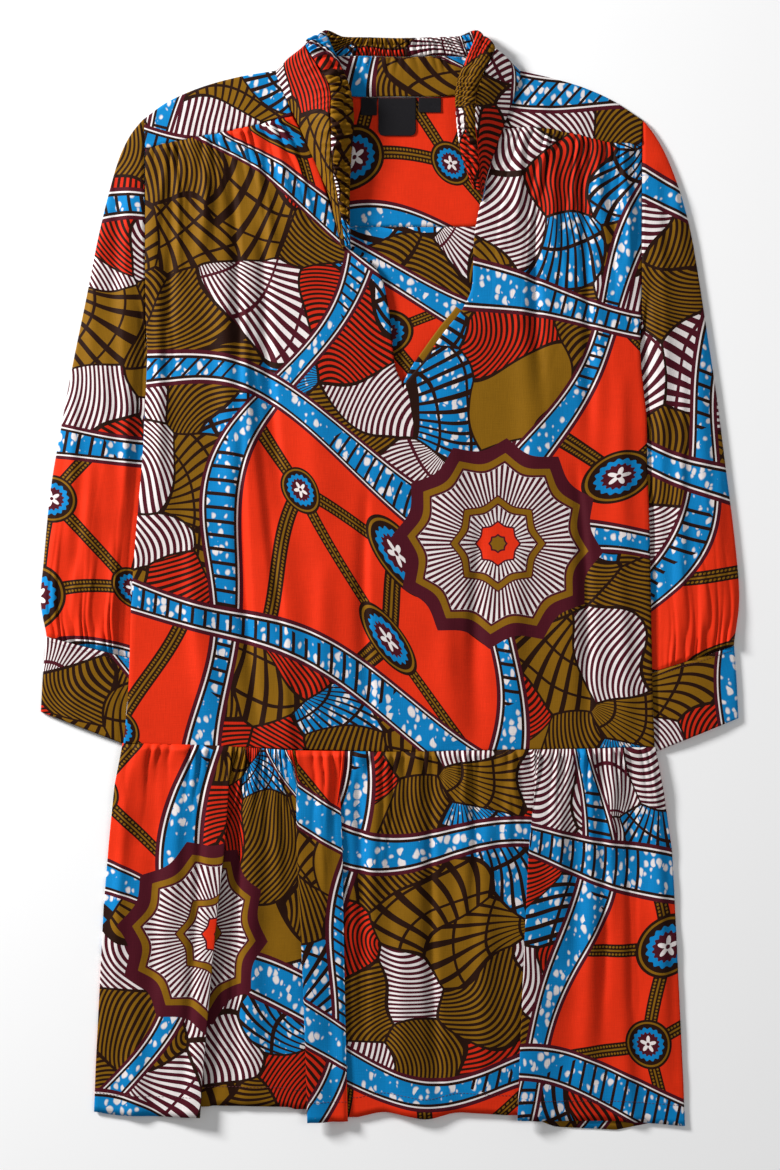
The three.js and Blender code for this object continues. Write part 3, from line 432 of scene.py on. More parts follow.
def make_shell(name, patches, closed=False):
    """A piece of cloth from one or more patches: a grid of points of its upper face, one of its lower
    face, where each point lies on the bolt, and from which row its two sides go on into the next patch."""
    points, places, faces, spots = [], [], [], []
    count = placed = 0
    for patch in patches:
        top, low, bolt = patch["top"], patch["low"], patch["bolt"]
        rows, columns = top.shape[:2]
        upper = count + np.arange(rows * columns).reshape(rows, columns)
        lower = upper + rows * columns
        on_bolt = placed + np.arange(rows * bolt.shape[1]).reshape(rows, bolt.shape[1])
        if closed:
            upper, lower = (np.hstack([grid, grid[:, :1]]) for grid in (upper, lower))
        last = patch.get("last", rows - 1)
        first = patch.get("first", rows - 1)
        pairs = [
            (quads(upper), quads(on_bolt)),
            (quads(lower)[:, ::-1], quads(on_bolt)[:, ::-1]),
            (strip(upper[0], lower[0]), strip(on_bolt[0], on_bolt[0])),
            (strip(lower[-1], upper[-1]), strip(on_bolt[-1], on_bolt[-1])),
        ]
        if not closed:
            start, end = slice(0, first + 1), slice(0, last + 1)
            left, right = on_bolt[start, 0], on_bolt[end, -1]
            pairs.append((strip(lower[start, 0], upper[start, 0]), strip(left, left)))
            pairs.append((strip(upper[end, -1], lower[end, -1]), strip(right, right)))
        faces += [pair[0] for pair in pairs]
        spots += [pair[1] for pair in pairs]
        points += [top.reshape(-1, 3), low.reshape(-1, 3)]
        places.append(bolt.reshape(-1, 2))
        count += 2 * rows * columns
        placed += rows * bolt.shape[1]
    points = np.concatenate(points)
    faces, spots = np.concatenate(faces), np.concatenate(spots)
    _, kept, welded = np.unique(np.round(points, 3), axis=0, return_index=True, return_inverse=True)
    points, faces = points[kept], welded.reshape(-1)[faces]
    a, b, c, d = (points[faces[:, k]] for k in range(4))
    inside_out = (a * np.cross(b, c)).sum() + (a * np.cross(c, d)).sum() < 0
    if inside_out:
        faces, spots = faces[:, ::-1], spots[:, ::-1]
    piece = laid_out(name, points, faces.tolist())
    layer = piece.data.uv_layers.new(name="cloth")
    layer.data.foreach_set("uv", (np.concatenate(places)[spots.reshape(-1)] * MM).reshape(-1))
    return piece


def lowered(top, amount=SHELL):
    low = top.copy()
    low[..., 2] -= amount
    return low


def dress(piece, nodes, finish):
    """Gives a piece its finish and sets it in place of the solids that it stands for."""
    piece.data.materials.append(finish)
    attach(piece, "root")
    if nodes:
        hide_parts(*nodes)
    return piece


def bolt_of(u, v, offset):
    """Where a piece was cut: its own flat measure, moved to its place on the bolt of cloth."""
    return np.stack(np.broadcast_arrays(u + offset[0], v + offset[1]), axis=-1)


# Where each piece was cut from the bolt
CUT_AT = {
    "front_bodice": (0, 0),
    "skirt_front": (37, 58),
    "front_yoke_left": (410, -160),
    "front_yoke_right": (-388, -250),
    "back_yoke": (893, -30),
    "back_bodice": (640, 40),
    "skirt_back": (655, 120),
    "sleeve_left": (1180, 320),
    "sleeve_right": (-760, 300),
    "cuff_left": (880, -420),
    "cuff_right": (-540, -310),
    "collar": (300, 505),
    "collar_casing": (-808, 1077),
    "slit_facing": (260, 140),
}


def sewn(node, top, low, u, v, finish, closed=False):
    """A piece from one patch of cloth, with its flat measure u across and v up, which stands for the
    node of the same name."""
    patch = {"top": top, "low": low, "bolt": bolt_of(u, v, CUT_AT[node])}
    return dress(make_shell(f"cloth_{node}", [patch], closed), [node], finish)


# Front bodice

BODICE_CREASES = table(
    "fromX fromY toX toY bend height left right",
    (-205, 372, -214, 262, 4, 2.0, 5, 8),
    (-194, 398, -199, 170, 3, -2.2, 4, 5),
    (-168, 396, -176, 280, -4, 2.6, 6, 5),
    (-148, 406, -139, 130, -6, -3.6, 3.5, 7),
    (-118, 404, -104, 280, 5, 2.4, 7, 5),
    (-112, 411, -96, 60, 8, -3.0, 3.5, 7),
    (-101, 398, -80, 318, 4, 1.8, 5, 5),
    (-160, 300, -150, 20, -9, 2.0, 16, 9),
    (-205, 190, -196, 20, 6, 1.7, 9, 12),
    (-182, 60, -160, -140, 5, 2.4, 14, 8),
    (-104, 60, -92, -152, -5, 2.6, 15, 6),
    (-64, 240, -52, -60, 8, 1.5, 20, 13),
    (-60, 20, -66, -150, 0, 1.9, 12, 9),
    (-20, 90, -14, -152, 6, -2.4, 4, 8),
    (118, 400, 108, 300, -4, 2.2, 5, 6),
    (134, 404, 141, 150, 6, -3.2, 4, 7),
    (150, 398, 152, 290, 4, 2.6, 6, 6),
    (171, 400, 180, 110, -5, -3.0, 5, 6),
    (190, 392, 200, 290, 3, 2.3, 6, 6),
    (216, 372, 214, 250, -2, 1.8, 5, 5),
    (110, 300, 128, 40, -8, 1.9, 17, 12),
    (58, 210, 70, -40, 7, 1.5, 14, 20),
    (212, 190, 214, 10, 3, 1.9, 8, 10),
    (120, 40, 112, -148, 4, 2.0, 11, 14),
    (206, 20, 214, -148, -3, 2.0, 8, 9),
    (168, 110, 177, -152, -7, -2.8, 4, 8),
    (52, -20, 60, -150, 3, 1.7, 10, 12),
    (-120, 330, -60, 270, 6, 1.3, 9, 9),
    (92, 300, 150, 250, -5, 1.3, 8, 10),
    (-134, 150, -117, -152, 6, -3.4, 3.5, 7),
    (84, 60, 80, -152, 5, -2.4, 8, 7),
    (-212, 300, -214, 40, -3, 1.8, 6, 6),
)


def front_half(side, yoke, rows, foot_row):
    """One half of the bodice front, from its armhole and side seam to its neckline and slit."""
    s = np.linspace(0, 1, 137)[None, :, None]
    outer = curve(BODICE_ROWS, f"{side}X {side}Y", rows)[:, None]
    neck = "neck" + side.capitalize()
    inner = curve(BODICE_ROWS, f"{neck}X {neck}Y", rows)[:, None]
    flat = mix(outer, inner, s)
    bowed = curve(yoke, "seamX seamY", s[0, :, 0])[None] - [0, SEAM_GAP + 0.1]
    flat = flat + (bowed - flat[:1]) * near(rows, 0.2)[:, None, None]
    run = run_down(flat)
    x, y = flat[..., 0], flat[..., 1]
    inward = np.broadcast_to(s[..., 0], x.shape)
    ends = smooth(inward / 0.08) * smooth((1 - inward) / 0.1)
    z = front_under(x, y) + CLOTH
    seed = 11 if side == "left" else 12
    z += ends * gathers(inward, run, count=14, height=5.0, length=56, seed=seed)
    z += CREASE_DEPTH * creases(x, y, BODICE_CREASES) * smooth(run / 12)
    z += 0.32 * undulation(x, y, size=62, seed=5) * smooth(run / 30)
    z = np.maximum(z, over_back(x, y))
    at_seam = near(run, SEAM_REACH)
    at_side = near(inward * HALF_WIDTH, 3.5)
    at_waist = near(run[-1] - run, 2.6)
    z = z - SEAM_DIP * at_seam - 0.7 * at_side - 0.25 * at_waist
    edge = smooth((inward - 0.985) / 0.015) * (run < run[foot_row])
    z = z - 0.45 * edge
    top = np.stack([x, y + SEAM_ROLL * at_seam, z], axis=-1)
    width = mix(0.65, 1, smooth(rows / 0.15))[:, None]
    u = mix(outer[..., 0], inner[..., 0] * width, s[..., 0])
    return {"top": top, "low": lowered(top), "bolt": bolt_of(u, y, CUT_AT["front_bodice"])}


def make_front_bodice(finish):
    rows = spaced(BODICE_ROWS, "leftX leftY", "neckLeftX neckLeftY", count=150)
    foot_row = int(np.argmin(np.abs(rows - SLIT_FOOT)))
    rows[foot_row] = SLIT_FOOT
    left = front_half("left", LEFT_YOKE, rows, foot_row)
    right = front_half("right", RIGHT_YOKE, rows, foot_row)
    right = {key: grid[:, ::-1] for key, grid in right.items()}
    shared = (left["top"][foot_row:, -1] + right["top"][foot_row:, 0]) / 2
    for half, edge in ((left, -1), (right, 0)):
        half["top"][foot_row:, edge] = shared
        half["low"][foot_row:, edge] = shared - [0, 0, SHELL]
    piece = make_shell("cloth_front_bodice", [{**left, "last": foot_row}, {**right, "first": foot_row}])
    dress(piece, ["front_bodice"], finish)


# Skirt front

SKIRT_CREASES = table(
    "fromX fromY toX toY bend height left right",
    (-238, -165, -246, -400, 5, 2.6, 9, 12),
    (-208, -170, -214, -478, -7, 2.5, 15, 8),
    (-186, -158, -196, -320, 3, 2.2, 7, 8),
    (-170, -157, -190, -486, -4, -3.0, 4, 6),
    (-118, -160, -122, -482, 6, 2.6, 10, 12),
    (-104, -160, -98, -300, 2, 1.9, 5, 6),
    (-58, -160, -56, -300, 3, 2.2, 6, 5),
    (-30, -157, -24, -440, -3, -3.0, 4, 6),
    (-10, -158, -14, -350, 4, 2.4, 8, 10),
    (8, -300, 4, -480, -3, 1.9, 10, 8),
    (40, -157, 46, -486, 5, -3.0, 4, 7),
    (60, -158, 66, -340, -4, 2.4, 8, 6),
    (92, -160, 88, -482, 5, 2.6, 12, 9),
    (112, -158, 106, -290, 2, 1.8, 6, 5),
    (156, -158, 160, -350, 3, 2.4, 7, 9),
    (178, -170, 174, -486, -6, 2.6, 14, 9),
    (206, -158, 198, -320, 3, 2.2, 7, 7),
    (222, -157, 226, -486, 4, -2.4, 6, 6),
    (-134, -157, -138, -486, 4, -3.0, 4, 6),
    (192, -157, 190, -440, -4, -2.4, 5, 6),
    (238, -165, 246, -470, -4, 2.4, 9, 10),
)

HEM_LEFT, HEM_RIGHT = -269.0, 268.0
COLUMN_WIDTH = 1.3  # between the tucks
TUCK_COLUMNS = 23
# The cloth beside the line of a tuck that folds with it, how much of that shows where it isn't folded
# yet, and how far the line is pulled aside, all as shares of the cloth folded away
TUCK_SPREAD, TUCK_SLACK, TUCK_PULL = 0.8, 0.3, 0.24


def spread_columns():
    """Columns of the skirt front by their place on the flat cloth: even between the tucks, and close
    together along each of them. Gives, for each, the stretch or tuck that it belongs to."""
    edges = [HEM_LEFT] + [tuck["endX"] for tuck in TUCKS] + [HEM_RIGHT]
    result = []
    for number, (left, right) in enumerate(zip(edges[:-1], edges[1:])):
        count = int((right - left) / COLUMN_WIDTH)
        first = 0 if number == 0 else 1
        last = count + 1 if number == len(TUCKS) else count
        result += [("plain", number, k / count) for k in range(first, last)]
        if number < len(TUCKS):
            result += [("tuck", number, s) for s in np.linspace(-1, 1, TUCK_COLUMNS)]
    return result


def laid_over(columns, rough_y, fullness):
    """The columns of the skirt front as they lie, with the cloth at the tucks laid over itself: x down
    each column, its place on the flat cloth, where it meets the hem and how far the tucks lift it."""
    left_edge, right_edge = sides_at(rough_y)
    half = [tuck["tucked"] * TUCK_SPREAD for tuck in TUCKS]
    lines, ends = [], []
    for tuck, half_width in zip(TUCKS, half):
        crest = crest_of(tuck, rough_y)[0]
        pulled = mix(0, TUCK_PULL * tuck["tucked"], fullness) * tuck["onTop"]
        lines.append(crest + pulled)
        ends.append(mix(TUCK_SLACK * half_width, half_width - tuck["tucked"], fullness))
    x = np.zeros((len(rough_y), len(columns)))
    tuck_rise = np.zeros_like(x)
    u, hem_x = np.zeros(len(columns)), np.zeros(len(columns))
    starts = [left_edge] + [line + end for line, end in zip(lines, ends)]
    stops = [line - end for line, end in zip(lines, ends)] + [right_edge]
    begun = [starts[0][-1]]
    for number in range(len(TUCKS)):
        begun.append(begun[-1] + stops[number][-1] - starts[number][-1] + 2 * half[number])
    for c, (kind, number, s) in enumerate(columns):
        if kind == "plain":
            x[:, c] = mix(starts[number], stops[number], s)
            u[c] = begun[number] + s * (stops[number][-1] - starts[number][-1])
            hem_x[c] = x[-1, c]
            if number > 0:
                hem_x[c] = max(hem_x[c], TUCKS[number - 1]["endX"] + HEM_OUT)
            if number < len(TUCKS):
                hem_x[c] = min(hem_x[c], TUCKS[number]["endX"] - HEM_IN)
            for beside, onto, edge in ((number - 1, 1, starts[number]), (number, -1, stops[number])):
                if 0 <= beside < len(TUCKS) and TUCKS[beside]["onTop"] == onto:
                    lift = near(np.abs(x[:, c] - edge), TUCKS[beside]["climb"])
                    tuck_rise[:, c] += TUCKS[beside]["height"] * fullness * lift
        else:
            tuck, half_width = TUCKS[number], half[number]
            bent = np.sin(np.pi * s / 2)
            flat, folded = TUCK_SLACK * half_width * s, half_width * s - tuck["tucked"] * bent
            x[:, c] = lines[number] + mix(flat, folded, fullness)
            u[c] = begun[number] + (stops[number][-1] - starts[number][-1]) + half_width * (1 + s)
            hem_x[c] = mix(tuck["endX"] - HEM_IN, tuck["endX"] + HEM_OUT, 0.5 + 0.5 * s)
            tuck_rise[:, c] = tuck["height"] * fullness * (0.5 + 0.5 * tuck["onTop"] * bent)
    return x, u, hem_x, tuck_rise


def make_skirt_front(finish):
    down = np.linspace(0, 1, 84) ** 1.5
    rough_y = mix(SKIRT_TOP, SKIRT_FOOT, down)
    x, u, hem_x, tuck_rise = laid_over(spread_columns(), rough_y, smooth(0.12 + down / 0.34))
    share = (u - u[0]) / (u[-1] - u[0])
    waist = read(WAIST_SEAM, "share", "y", (x[0] - x[0, 0]) / (x[0, -1] - x[0, 0])) - SEAM_GAP
    hem_y = sum(read(FRONT_HEM, "x", "y", hem_x + aside) for aside in (-6, -2, 2, 6)) / 4
    y = mix(waist[None], hem_y[None], down[:, None])
    run = run_down(np.stack([x, y], axis=-1))
    share = np.broadcast_to(share[None], x.shape)
    ends_fade = smooth(share / 0.02) * smooth((1 - share) / 0.02)
    z = front_under(x, y) + CLOTH + tuck_rise
    z += ends_fade * gathers(share, run, count=60, height=5.6, length=40, seed=21)
    z += CREASE_DEPTH * creases(x, y, SKIRT_CREASES) * smooth(run / 10) * ends_fade
    z += 0.35 * undulation(x, y, size=58, seed=9) * smooth(run / 40)
    z = np.maximum(z, over_back(x, y))
    at_seam = near(run, SEAM_REACH)
    at_side = near(np.minimum(share, 1 - share) * 700, 3.5)
    z = z - SEAM_DIP * at_seam - 0.5 * at_side
    top = np.stack([x, y + SEAM_ROLL * at_seam, z], axis=-1)
    hem = smooth((run - run[-1] + HEM_DEPTH) / 1.5)
    low = lowered(top)
    low[..., 2] -= 0.5 * hem
    piece = sewn("skirt_front", top, low, u[None], y, finish)
    return top, run


# The back, which lies flat on the surface

def back_panel(node, finish, flat):
    """A panel of the back: flat beneath, softly uneven above."""
    x, y = flat[..., 0], flat[..., 1]
    low = np.stack([x, y, back_under(x, y)], axis=-1)
    top = low.copy()
    top[..., 2] += CLOTH + 0.16 * undulation(x, y, size=46, seed=31)
    run = run_down(flat)
    top[..., 2] -= 0.35 * (near(run, 2) + near(run[-1] - run, 2))
    piece = sewn(node, top, low, x, y, finish)
    return top


def make_back_bodice(finish):
    down = np.linspace(0, 1, 84)[:, None]
    across = np.linspace(0, 1, 90)[None]
    waist = read(WAIST_SEAM, "share", "y", across) + SEAM_GAP
    y = mix(BACK_YOKE_SEAM_Y - SEAM_GAP, waist, down)
    left, right = sides_at(y)
    flat = np.stack([mix(left, right, across), y], axis=-1)
    back_panel("back_bodice", finish, flat)


def make_skirt_back(finish):
    down = np.linspace(0, 1, 70)[:, None]
    across = np.linspace(0, 1, 96)[None]
    waist = read(WAIST_SEAM, "share", "y", across) - SEAM_GAP
    y = mix(waist, read(BACK_HEM, "x", "y", mix(-268, 267, across)), down)
    left, right = sides_at(y)
    flat = np.stack([mix(left + 0.6, right - 0.6, across), y], axis=-1)
    return back_panel("skirt_back", finish, flat)


def make_back_yoke(finish):
    down = np.linspace(0, 1, 40)[:, None, None]
    across = np.linspace(0, 1, 110)
    top = curve(BACK_YOKE_TOP, "x y", across)[None]
    seam_x, seam_y = mix(ARMHOLE_LEFT, ARMHOLE_RIGHT, across), np.full_like(across, BACK_YOKE_SEAM_Y)
    seam = np.stack([seam_x, seam_y], axis=-1)
    back_panel("back_yoke", finish, mix(top, seam[None], down))


def make_front_yoke(side, rows, finish):
    node = f"front_yoke_{side}"
    down = np.linspace(0, 1, 34)[:, None]
    across = np.linspace(0, 1, 80)
    shoulder, seam = curve(rows, "shoulderX shoulderY", across), curve(rows, "seamX seamY", across)
    flat = mix(shoulder[None], seam[None], down[..., None])
    rest = CLOTH + SEAM_GAP
    seam_height = front_under(seam[:, 0], seam[:, 1])[None]
    z = rest + (seam_height - rest) * np.sin(down * np.pi / 2) + CLOTH
    x, y = flat[..., 0], flat[..., 1]
    run = run_down(flat)
    to_seam = run[-1] - run
    z = z + 0.3 * undulation(x, y, size=30, seed=3) * smooth(to_seam / 8) * smooth(run / 8)
    z = z + 0.35 * np.exp(-(((to_seam - 2.6) / 1.8) ** 2)) - 0.3 * near(to_seam, 1.4)
    z = z - 0.5 * near(run, 2.2)
    top = np.stack([x, y, z], axis=-1)
    if side == "right":
        top = top[:, ::-1]
    piece = sewn(node, top, lowered(top), top[..., 0], top[..., 1], finish)


# Sleeves and cuffs

# Places of the columns that round a sleeve's folded edge
EDGE_STEPS = np.array([0, 0.12, 0.4, 0.9, 1.7])
UNDER_COLUMNS = 22

LEFT_SLEEVE_CREASES = table(
    "fromX fromY toX toY bend height left right",
    (-234, 388, -236, 60, 6, 3.0, 13, 6),
    (-250, 380, -258, 200, -4, -1.2, 6, 5),
    (-262, 330, -268, 150, 5, 1.7, 8, 6),
    (-254, 250, -256, 60, 4, 1.5, 9, 7),
    (-288, 200, -298, -20, -4, 2.2, 6, 7),
    (-240, 180, -242, 20, -3, 2.0, 6, 7),
    (-270, 120, -274, -46, 3, 2.4, 7, 6),
    (-300, 70, -306, -40, 2, 1.8, 6, 5),
    (-252, 40, -256, -52, -3, 1.9, 5, 6),
    (-284, 20, -287, -50, 2, 1.7, 5, 5),
)
RIGHT_SLEEVE_CREASES = table(
    "fromX fromY toX toY bend height left right",
    (240, 388, 243, 60, -6, 2.4, 6, 12),
    (262, 385, 266, 290, 3, 1.7, 6, 7),
    (250, 300, 246, 110, -5, 1.6, 9, 7),
    (240, 260, 238, 150, 3, 1.4, 7, 6),
    (284, 230, 292, 20, 4, 1.9, 7, 8),
    (267, 200, 267, -73, 3, 2.6, 5, 6),
    (246, 120, 244, -60, 3, 1.8, 6, 7),
    (300, 110, 304, -40, 3, 1.8, 6, 6),
    (284, 20, 286, -66, -2, 1.8, 5, 5),
)


def shown_part(share, hidden):
    """1 where a flattened tube shows, and 0 beneath the body and at its outer fold."""
    return smooth((share - hidden) / 0.12) * smooth((1 - share) / 0.06)


def tube_height(share, hidden, rise):
    """Height of a flattened tube: it stays thin beneath the body and swells beside it."""
    shown = np.clip((share - hidden) / (1 - hidden), 0, 1)
    return SLEEVE_EDGE + rise * np.sqrt(np.maximum(0, np.sin(np.pi * shown)))


def flat_tube(rows, lengths, across, height):
    """A flattened tube through a table of sections: its outer and inner rings of points, their places on
    the flat cloth, how many of them lie on its upper face, and how far along it the rings lie. height
    gives the upper face from the share across, the place, the distance along and the share hidden."""
    inner, outer = curve(rows, "innerX innerY", lengths), curve(rows, "outerX outerY", lengths)
    bend = curve(rows, "bow sag hidden", lengths)
    width = np.linalg.norm(outer - inner, axis=1)[:, None]
    along = run_down(((inner + outer) / 2)[:, None])
    lead = EDGE_STEPS[None] / width
    plain = mix(lead[:, -1:], 1 - lead[:, -1:], np.linspace(0, 1, across)[None])
    beneath = mix(lead[:, -1:], 1 - lead[:, -1:], np.linspace(0, 1, UNDER_COLUMNS)[None])
    share = np.hstack([lead[:, :-1], plain, 1 - lead[:, -2::-1]])
    under = np.hstack([lead[:, 1:-1], beneath, 1 - lead[:, -2:0:-1]])[:, ::-1]

    def rounded(at):
        to_edge = np.minimum(at, 1 - at) * width / EDGE_STEPS[-1]
        return np.sqrt(1 - (1 - np.clip(to_edge, 0, 1)) ** 2)

    def place(at, draw=0.0):
        at = 0.5 + (at - 0.5) * (1 - 2 * draw / width)
        swing = (4 * at * (1 - at))[..., None] * bend[:, None, :2]
        return mix(inner[:, None], outer[:, None], at[..., None]) + swing

    mid = SLEEVE_EDGE / 2
    flat, flat_under = place(share), place(under)
    roof = height(share, flat, along, bend[:, 2:3])

    def ring_of(draw):
        upper = mid + (roof - draw - mid) * rounded(share)
        lower = mid - (mid - draw) * rounded(under)
        plan = np.concatenate([place(share, draw), place(under, draw)], axis=1)
        return np.concatenate([plan, np.hstack([upper, lower])[..., None]], axis=-1)

    # The under side of the cloth goes on past the outer fold, as if the tube were opened there
    turned = flat_under.copy()
    turned[..., 0] = 2 * outer[:, None, 0] - turned[..., 0]
    closing = 2 * outer[:, None] - inner[:, None]
    closing[..., 1] = inner[:, None, 1]
    opened = np.concatenate([flat, turned, closing], axis=1)
    return ring_of(0.0), ring_of(SHELL), opened, share.shape[1], along


def turned_to(grain, opened):
    """Places on flat cloth, turned to the piece's own grain, which runs down its length."""
    angle = math.radians(grain)
    x, y = opened[..., 0], opened[..., 1]
    return x * math.cos(angle) - y * math.sin(angle), x * math.sin(angle) + y * math.cos(angle)


def make_sleeve(side, rows, crease_rows, seed, finish):
    node = f"sleeve_{side}"
    toward_body = 1 if side == "left" else -1

    def height(share, flat, along, hidden):
        left = along[-1:] - along
        shown = shown_part(share, hidden)
        z = tube_height(share, hidden, SLEEVE_RISE - 1.2 * smooth(1 - left / 66))
        z = z + shown * gathers(share, left + 0 * share, count=15, height=4.4, length=44, seed=seed)
        z = z + shown * creases(flat[..., 0], flat[..., 1], crease_rows) * smooth(left / 12)
        z = z + shown * 0.3 * undulation(flat[..., 0], flat[..., 1], size=48, seed=seed + 1)
        return z - SEAM_DIP * near(along, 2.6) - 0.8 * near(left, SEAM_REACH)

    lengths = spaced(rows, "innerX innerY", "outerX outerY", count=150)
    ring, lining, opened, shown_columns, along = flat_tube(rows, lengths, 112, height)
    to_armhole, to_cuff = near(along, 2.6), near(along[-1:] - along, SEAM_REACH)
    for grid in (ring, lining):
        upper = grid[:, :shown_columns]
        upper[..., 0] += 0.9 * toward_body * to_armhole
        upper[..., 1] -= 1.1 * to_cuff
    piece = sewn(node, ring, lining, *turned_to(-9 * toward_body, opened), finish, closed=True)


def make_cuff(side, rows, seed, finish):
    node = f"cuff_{side}"

    def height(share, flat, along, hidden):
        to_wrist = along[-1:] - along
        z = tube_height(share, hidden, CUFF_RISE)
        shown = shown_part(share, hidden)
        z = z + shown * 0.3 * undulation(flat[..., 0], flat[..., 1], size=30, seed=seed)
        z = z + 0.25 * shown * np.exp(-(((along - 3) / 2) ** 2))
        return z - 0.35 * near(along, 1.6) - 0.2 * near(to_wrist, 1.6)

    ring, lining, opened, shown_columns, _ = flat_tube(rows, np.linspace(0, 1, 44), 80, height)
    grain = 17 if side == "left" else -20
    piece = sewn(node, ring, lining, *turned_to(grain, opened), finish, closed=True)
    return ring[:, :shown_columns]


# Collar and its shirred casing

CHANNEL_SEAM = 0.56  # how far across the casing its row of sewing lies


def collar_points(round_share, up):
    """Points of the collar: up is 0 at the seam, 1 at the roll and 2 at the free edge."""
    seam, roll, edge = (
        curve(COLLAR, f"{part}X {part}Y {part}Z", round_share) for part in ("seam", "roll", "edge")
    )
    lower = up[..., None] < 1
    start, end = np.where(lower, seam, roll), np.where(lower, roll, edge)
    leave = np.where(lower, roll - seam, (edge - seam) / 2)
    arrive = np.where(lower, (edge - seam) / 2, edge - roll)
    return hermite(start, leave, end, arrive, (up - np.where(up < 1, 0, 1))[..., None])


def collar_grid(columns, ups):
    round_share, up = np.broadcast_arrays(np.linspace(0, 1, columns)[None], np.asarray(ups)[:, None])
    step = 0.004
    along = collar_points(np.minimum(1, round_share + step), up)
    along = along - collar_points(np.maximum(0, round_share - step), up)
    across = collar_points(round_share, np.minimum(2, up + 0.05))
    across = across - collar_points(round_share, np.maximum(0, up - 0.05))
    normal = np.cross(along, across)
    normal /= np.linalg.norm(normal, axis=-1, keepdims=True)
    return round_share, up, collar_points(round_share, up), normal


def ruches(round_share, up, count, seed):
    """Puckers of a casing with elastic in it, with sharp valleys between them."""
    chance = np.random.default_rng(seed)
    wander = 0.28 * np.sin(round_share * count * 1.3)
    phase = round_share * count + wander + 0.22 * np.sin(up * 4 + round_share * 60)
    number = np.clip(np.floor(phase).astype(int), 0, count + 1)
    tall = chance.uniform(0.55, 1.15, count + 2)[number]
    return tall * np.abs(np.sin(np.pi * phase)) ** 0.7


def make_collar(finish):
    round_share, up, middle, normal = collar_grid(columns=460, ups=np.linspace(0, 0.97, 24))
    ends = smooth(round_share / 0.03) * smooth((1 - round_share) / 0.03)
    rise = 1.5 * ends * smooth((up - 0.3) / 0.7) * (ruches(round_share, up, count=64, seed=41) - 0.5)
    rise = rise + 0.5 * undulation(round_share * 500, up * 45, size=40, seed=43) * smooth(up / 0.4)
    middle = middle + normal * rise[..., None]
    top, low = middle + normal * CLOTH / 2, middle - normal * CLOTH / 2
    piece = sewn("collar", top, low, round_share * 480, up * 42, finish)
    return top


def make_collar_casing(finish):
    """The casing: two puffed channels with a row of sewing between them, drawn up by the elastic."""
    round_share, up, middle, normal = collar_grid(columns=1000, ups=np.linspace(1.0, 2.0, 17))
    ends = smooth(round_share / 0.02) * smooth((1 - round_share) / 0.02)
    outer, inner = (up - 1) / CHANNEL_SEAM, (up - 1 - CHANNEL_SEAM) / (1 - CHANNEL_SEAM)
    in_channel = np.where(up - 1 < CHANNEL_SEAM, outer, inner)
    puffed = np.sqrt(np.maximum(0, 1 - (2 * in_channel - 1) ** 2))
    pucker = ends * (ruches(round_share, up, count=108, seed=47) - 0.5)
    facing_up = smooth(0.5 + 1.5 * normal[..., 2])

    def swelling(shown):
        return CLOTH / 2 + mix(0.4, 1.5, shown) * puffed + mix(-0.5, 1.2 + 2.4 * puffed, shown) * pucker

    top = middle + normal * swelling(facing_up)[..., None]
    low = middle - normal * swelling(1 - facing_up)[..., None]
    piece = sewn("collar_casing", top, low, round_share * 700, up * 26, finish)


def make_slit_facing(finish):
    """The turned facing that shows inside the slit along the foot of its right edge."""
    along = np.linspace(FACING_TOP, FACING_FOOT, 50)
    edge = curve(BODICE_ROWS, "neckRightX neckRightY", along)
    way = np.gradient(edge, axis=0)
    inward = np.stack([way[:, 1], -way[:, 0]], axis=1) / np.linalg.norm(way, axis=1)[:, None]
    inward *= -np.sign(inward[:, :1])
    narrow = 1 - 0.75 * smooth((np.linspace(0, 10, 50) - 7) / 3)
    offsets = np.linspace(0, 1, 9)[None]
    reach = mix(-3.0, 6.0 * narrow[:, None], offsets)
    flat = edge[:, None] + inward[:, None] * reach[..., None]
    x, y = flat[..., 0], flat[..., 1]
    z = front_under(x, y) - SEAM_GAP - 0.05 * CLOTH
    z = z - 0.3 * near(1 - offsets, 0.2)
    top = np.stack([x, y, z], axis=-1)
    piece = sewn("slit_facing", top, lowered(top), x, y, finish)


def make_label(node, shape, finish):
    """A plain woven label, sewn in along its upper edge, with its lower corners rounded."""
    down = np.linspace(0, 1, 44)
    drop, corner = shape["drop"], shape["corner"]
    middle, half = (shape["left"] + shape["right"]) / 2, (shape["right"] - shape["left"]) / 2
    into = np.clip((down * drop - (drop - corner)) / corner, 0, 1)
    half_at = half - corner * (1 - np.sqrt(1 - into**2))
    across = np.linspace(-1, 1, 40)[None]
    x = middle + across * half_at[:, None]
    y = np.broadcast_to(LABEL_TOP_Y - down[:, None] * drop, x.shape)
    rest = CLOTH + SEAM_GAP
    curl = 0.5 * smooth((down[:, None] - 0.5) / 0.5) * (0.4 + 0.6 * np.abs(across) ** 2)
    z = rest + 0.75 + curl * 0.5 + 0.08 * np.sin(x / 5) * np.sin(y / 7)
    top = np.stack([x, y, z], axis=-1)
    patch = {"top": top, "low": lowered(top, 0.55), "bolt": bolt_of(x, y, (0, 0))}
    dress(make_shell(f"woven_{node}", [patch]), [node], finish)
    return top


# Stitches

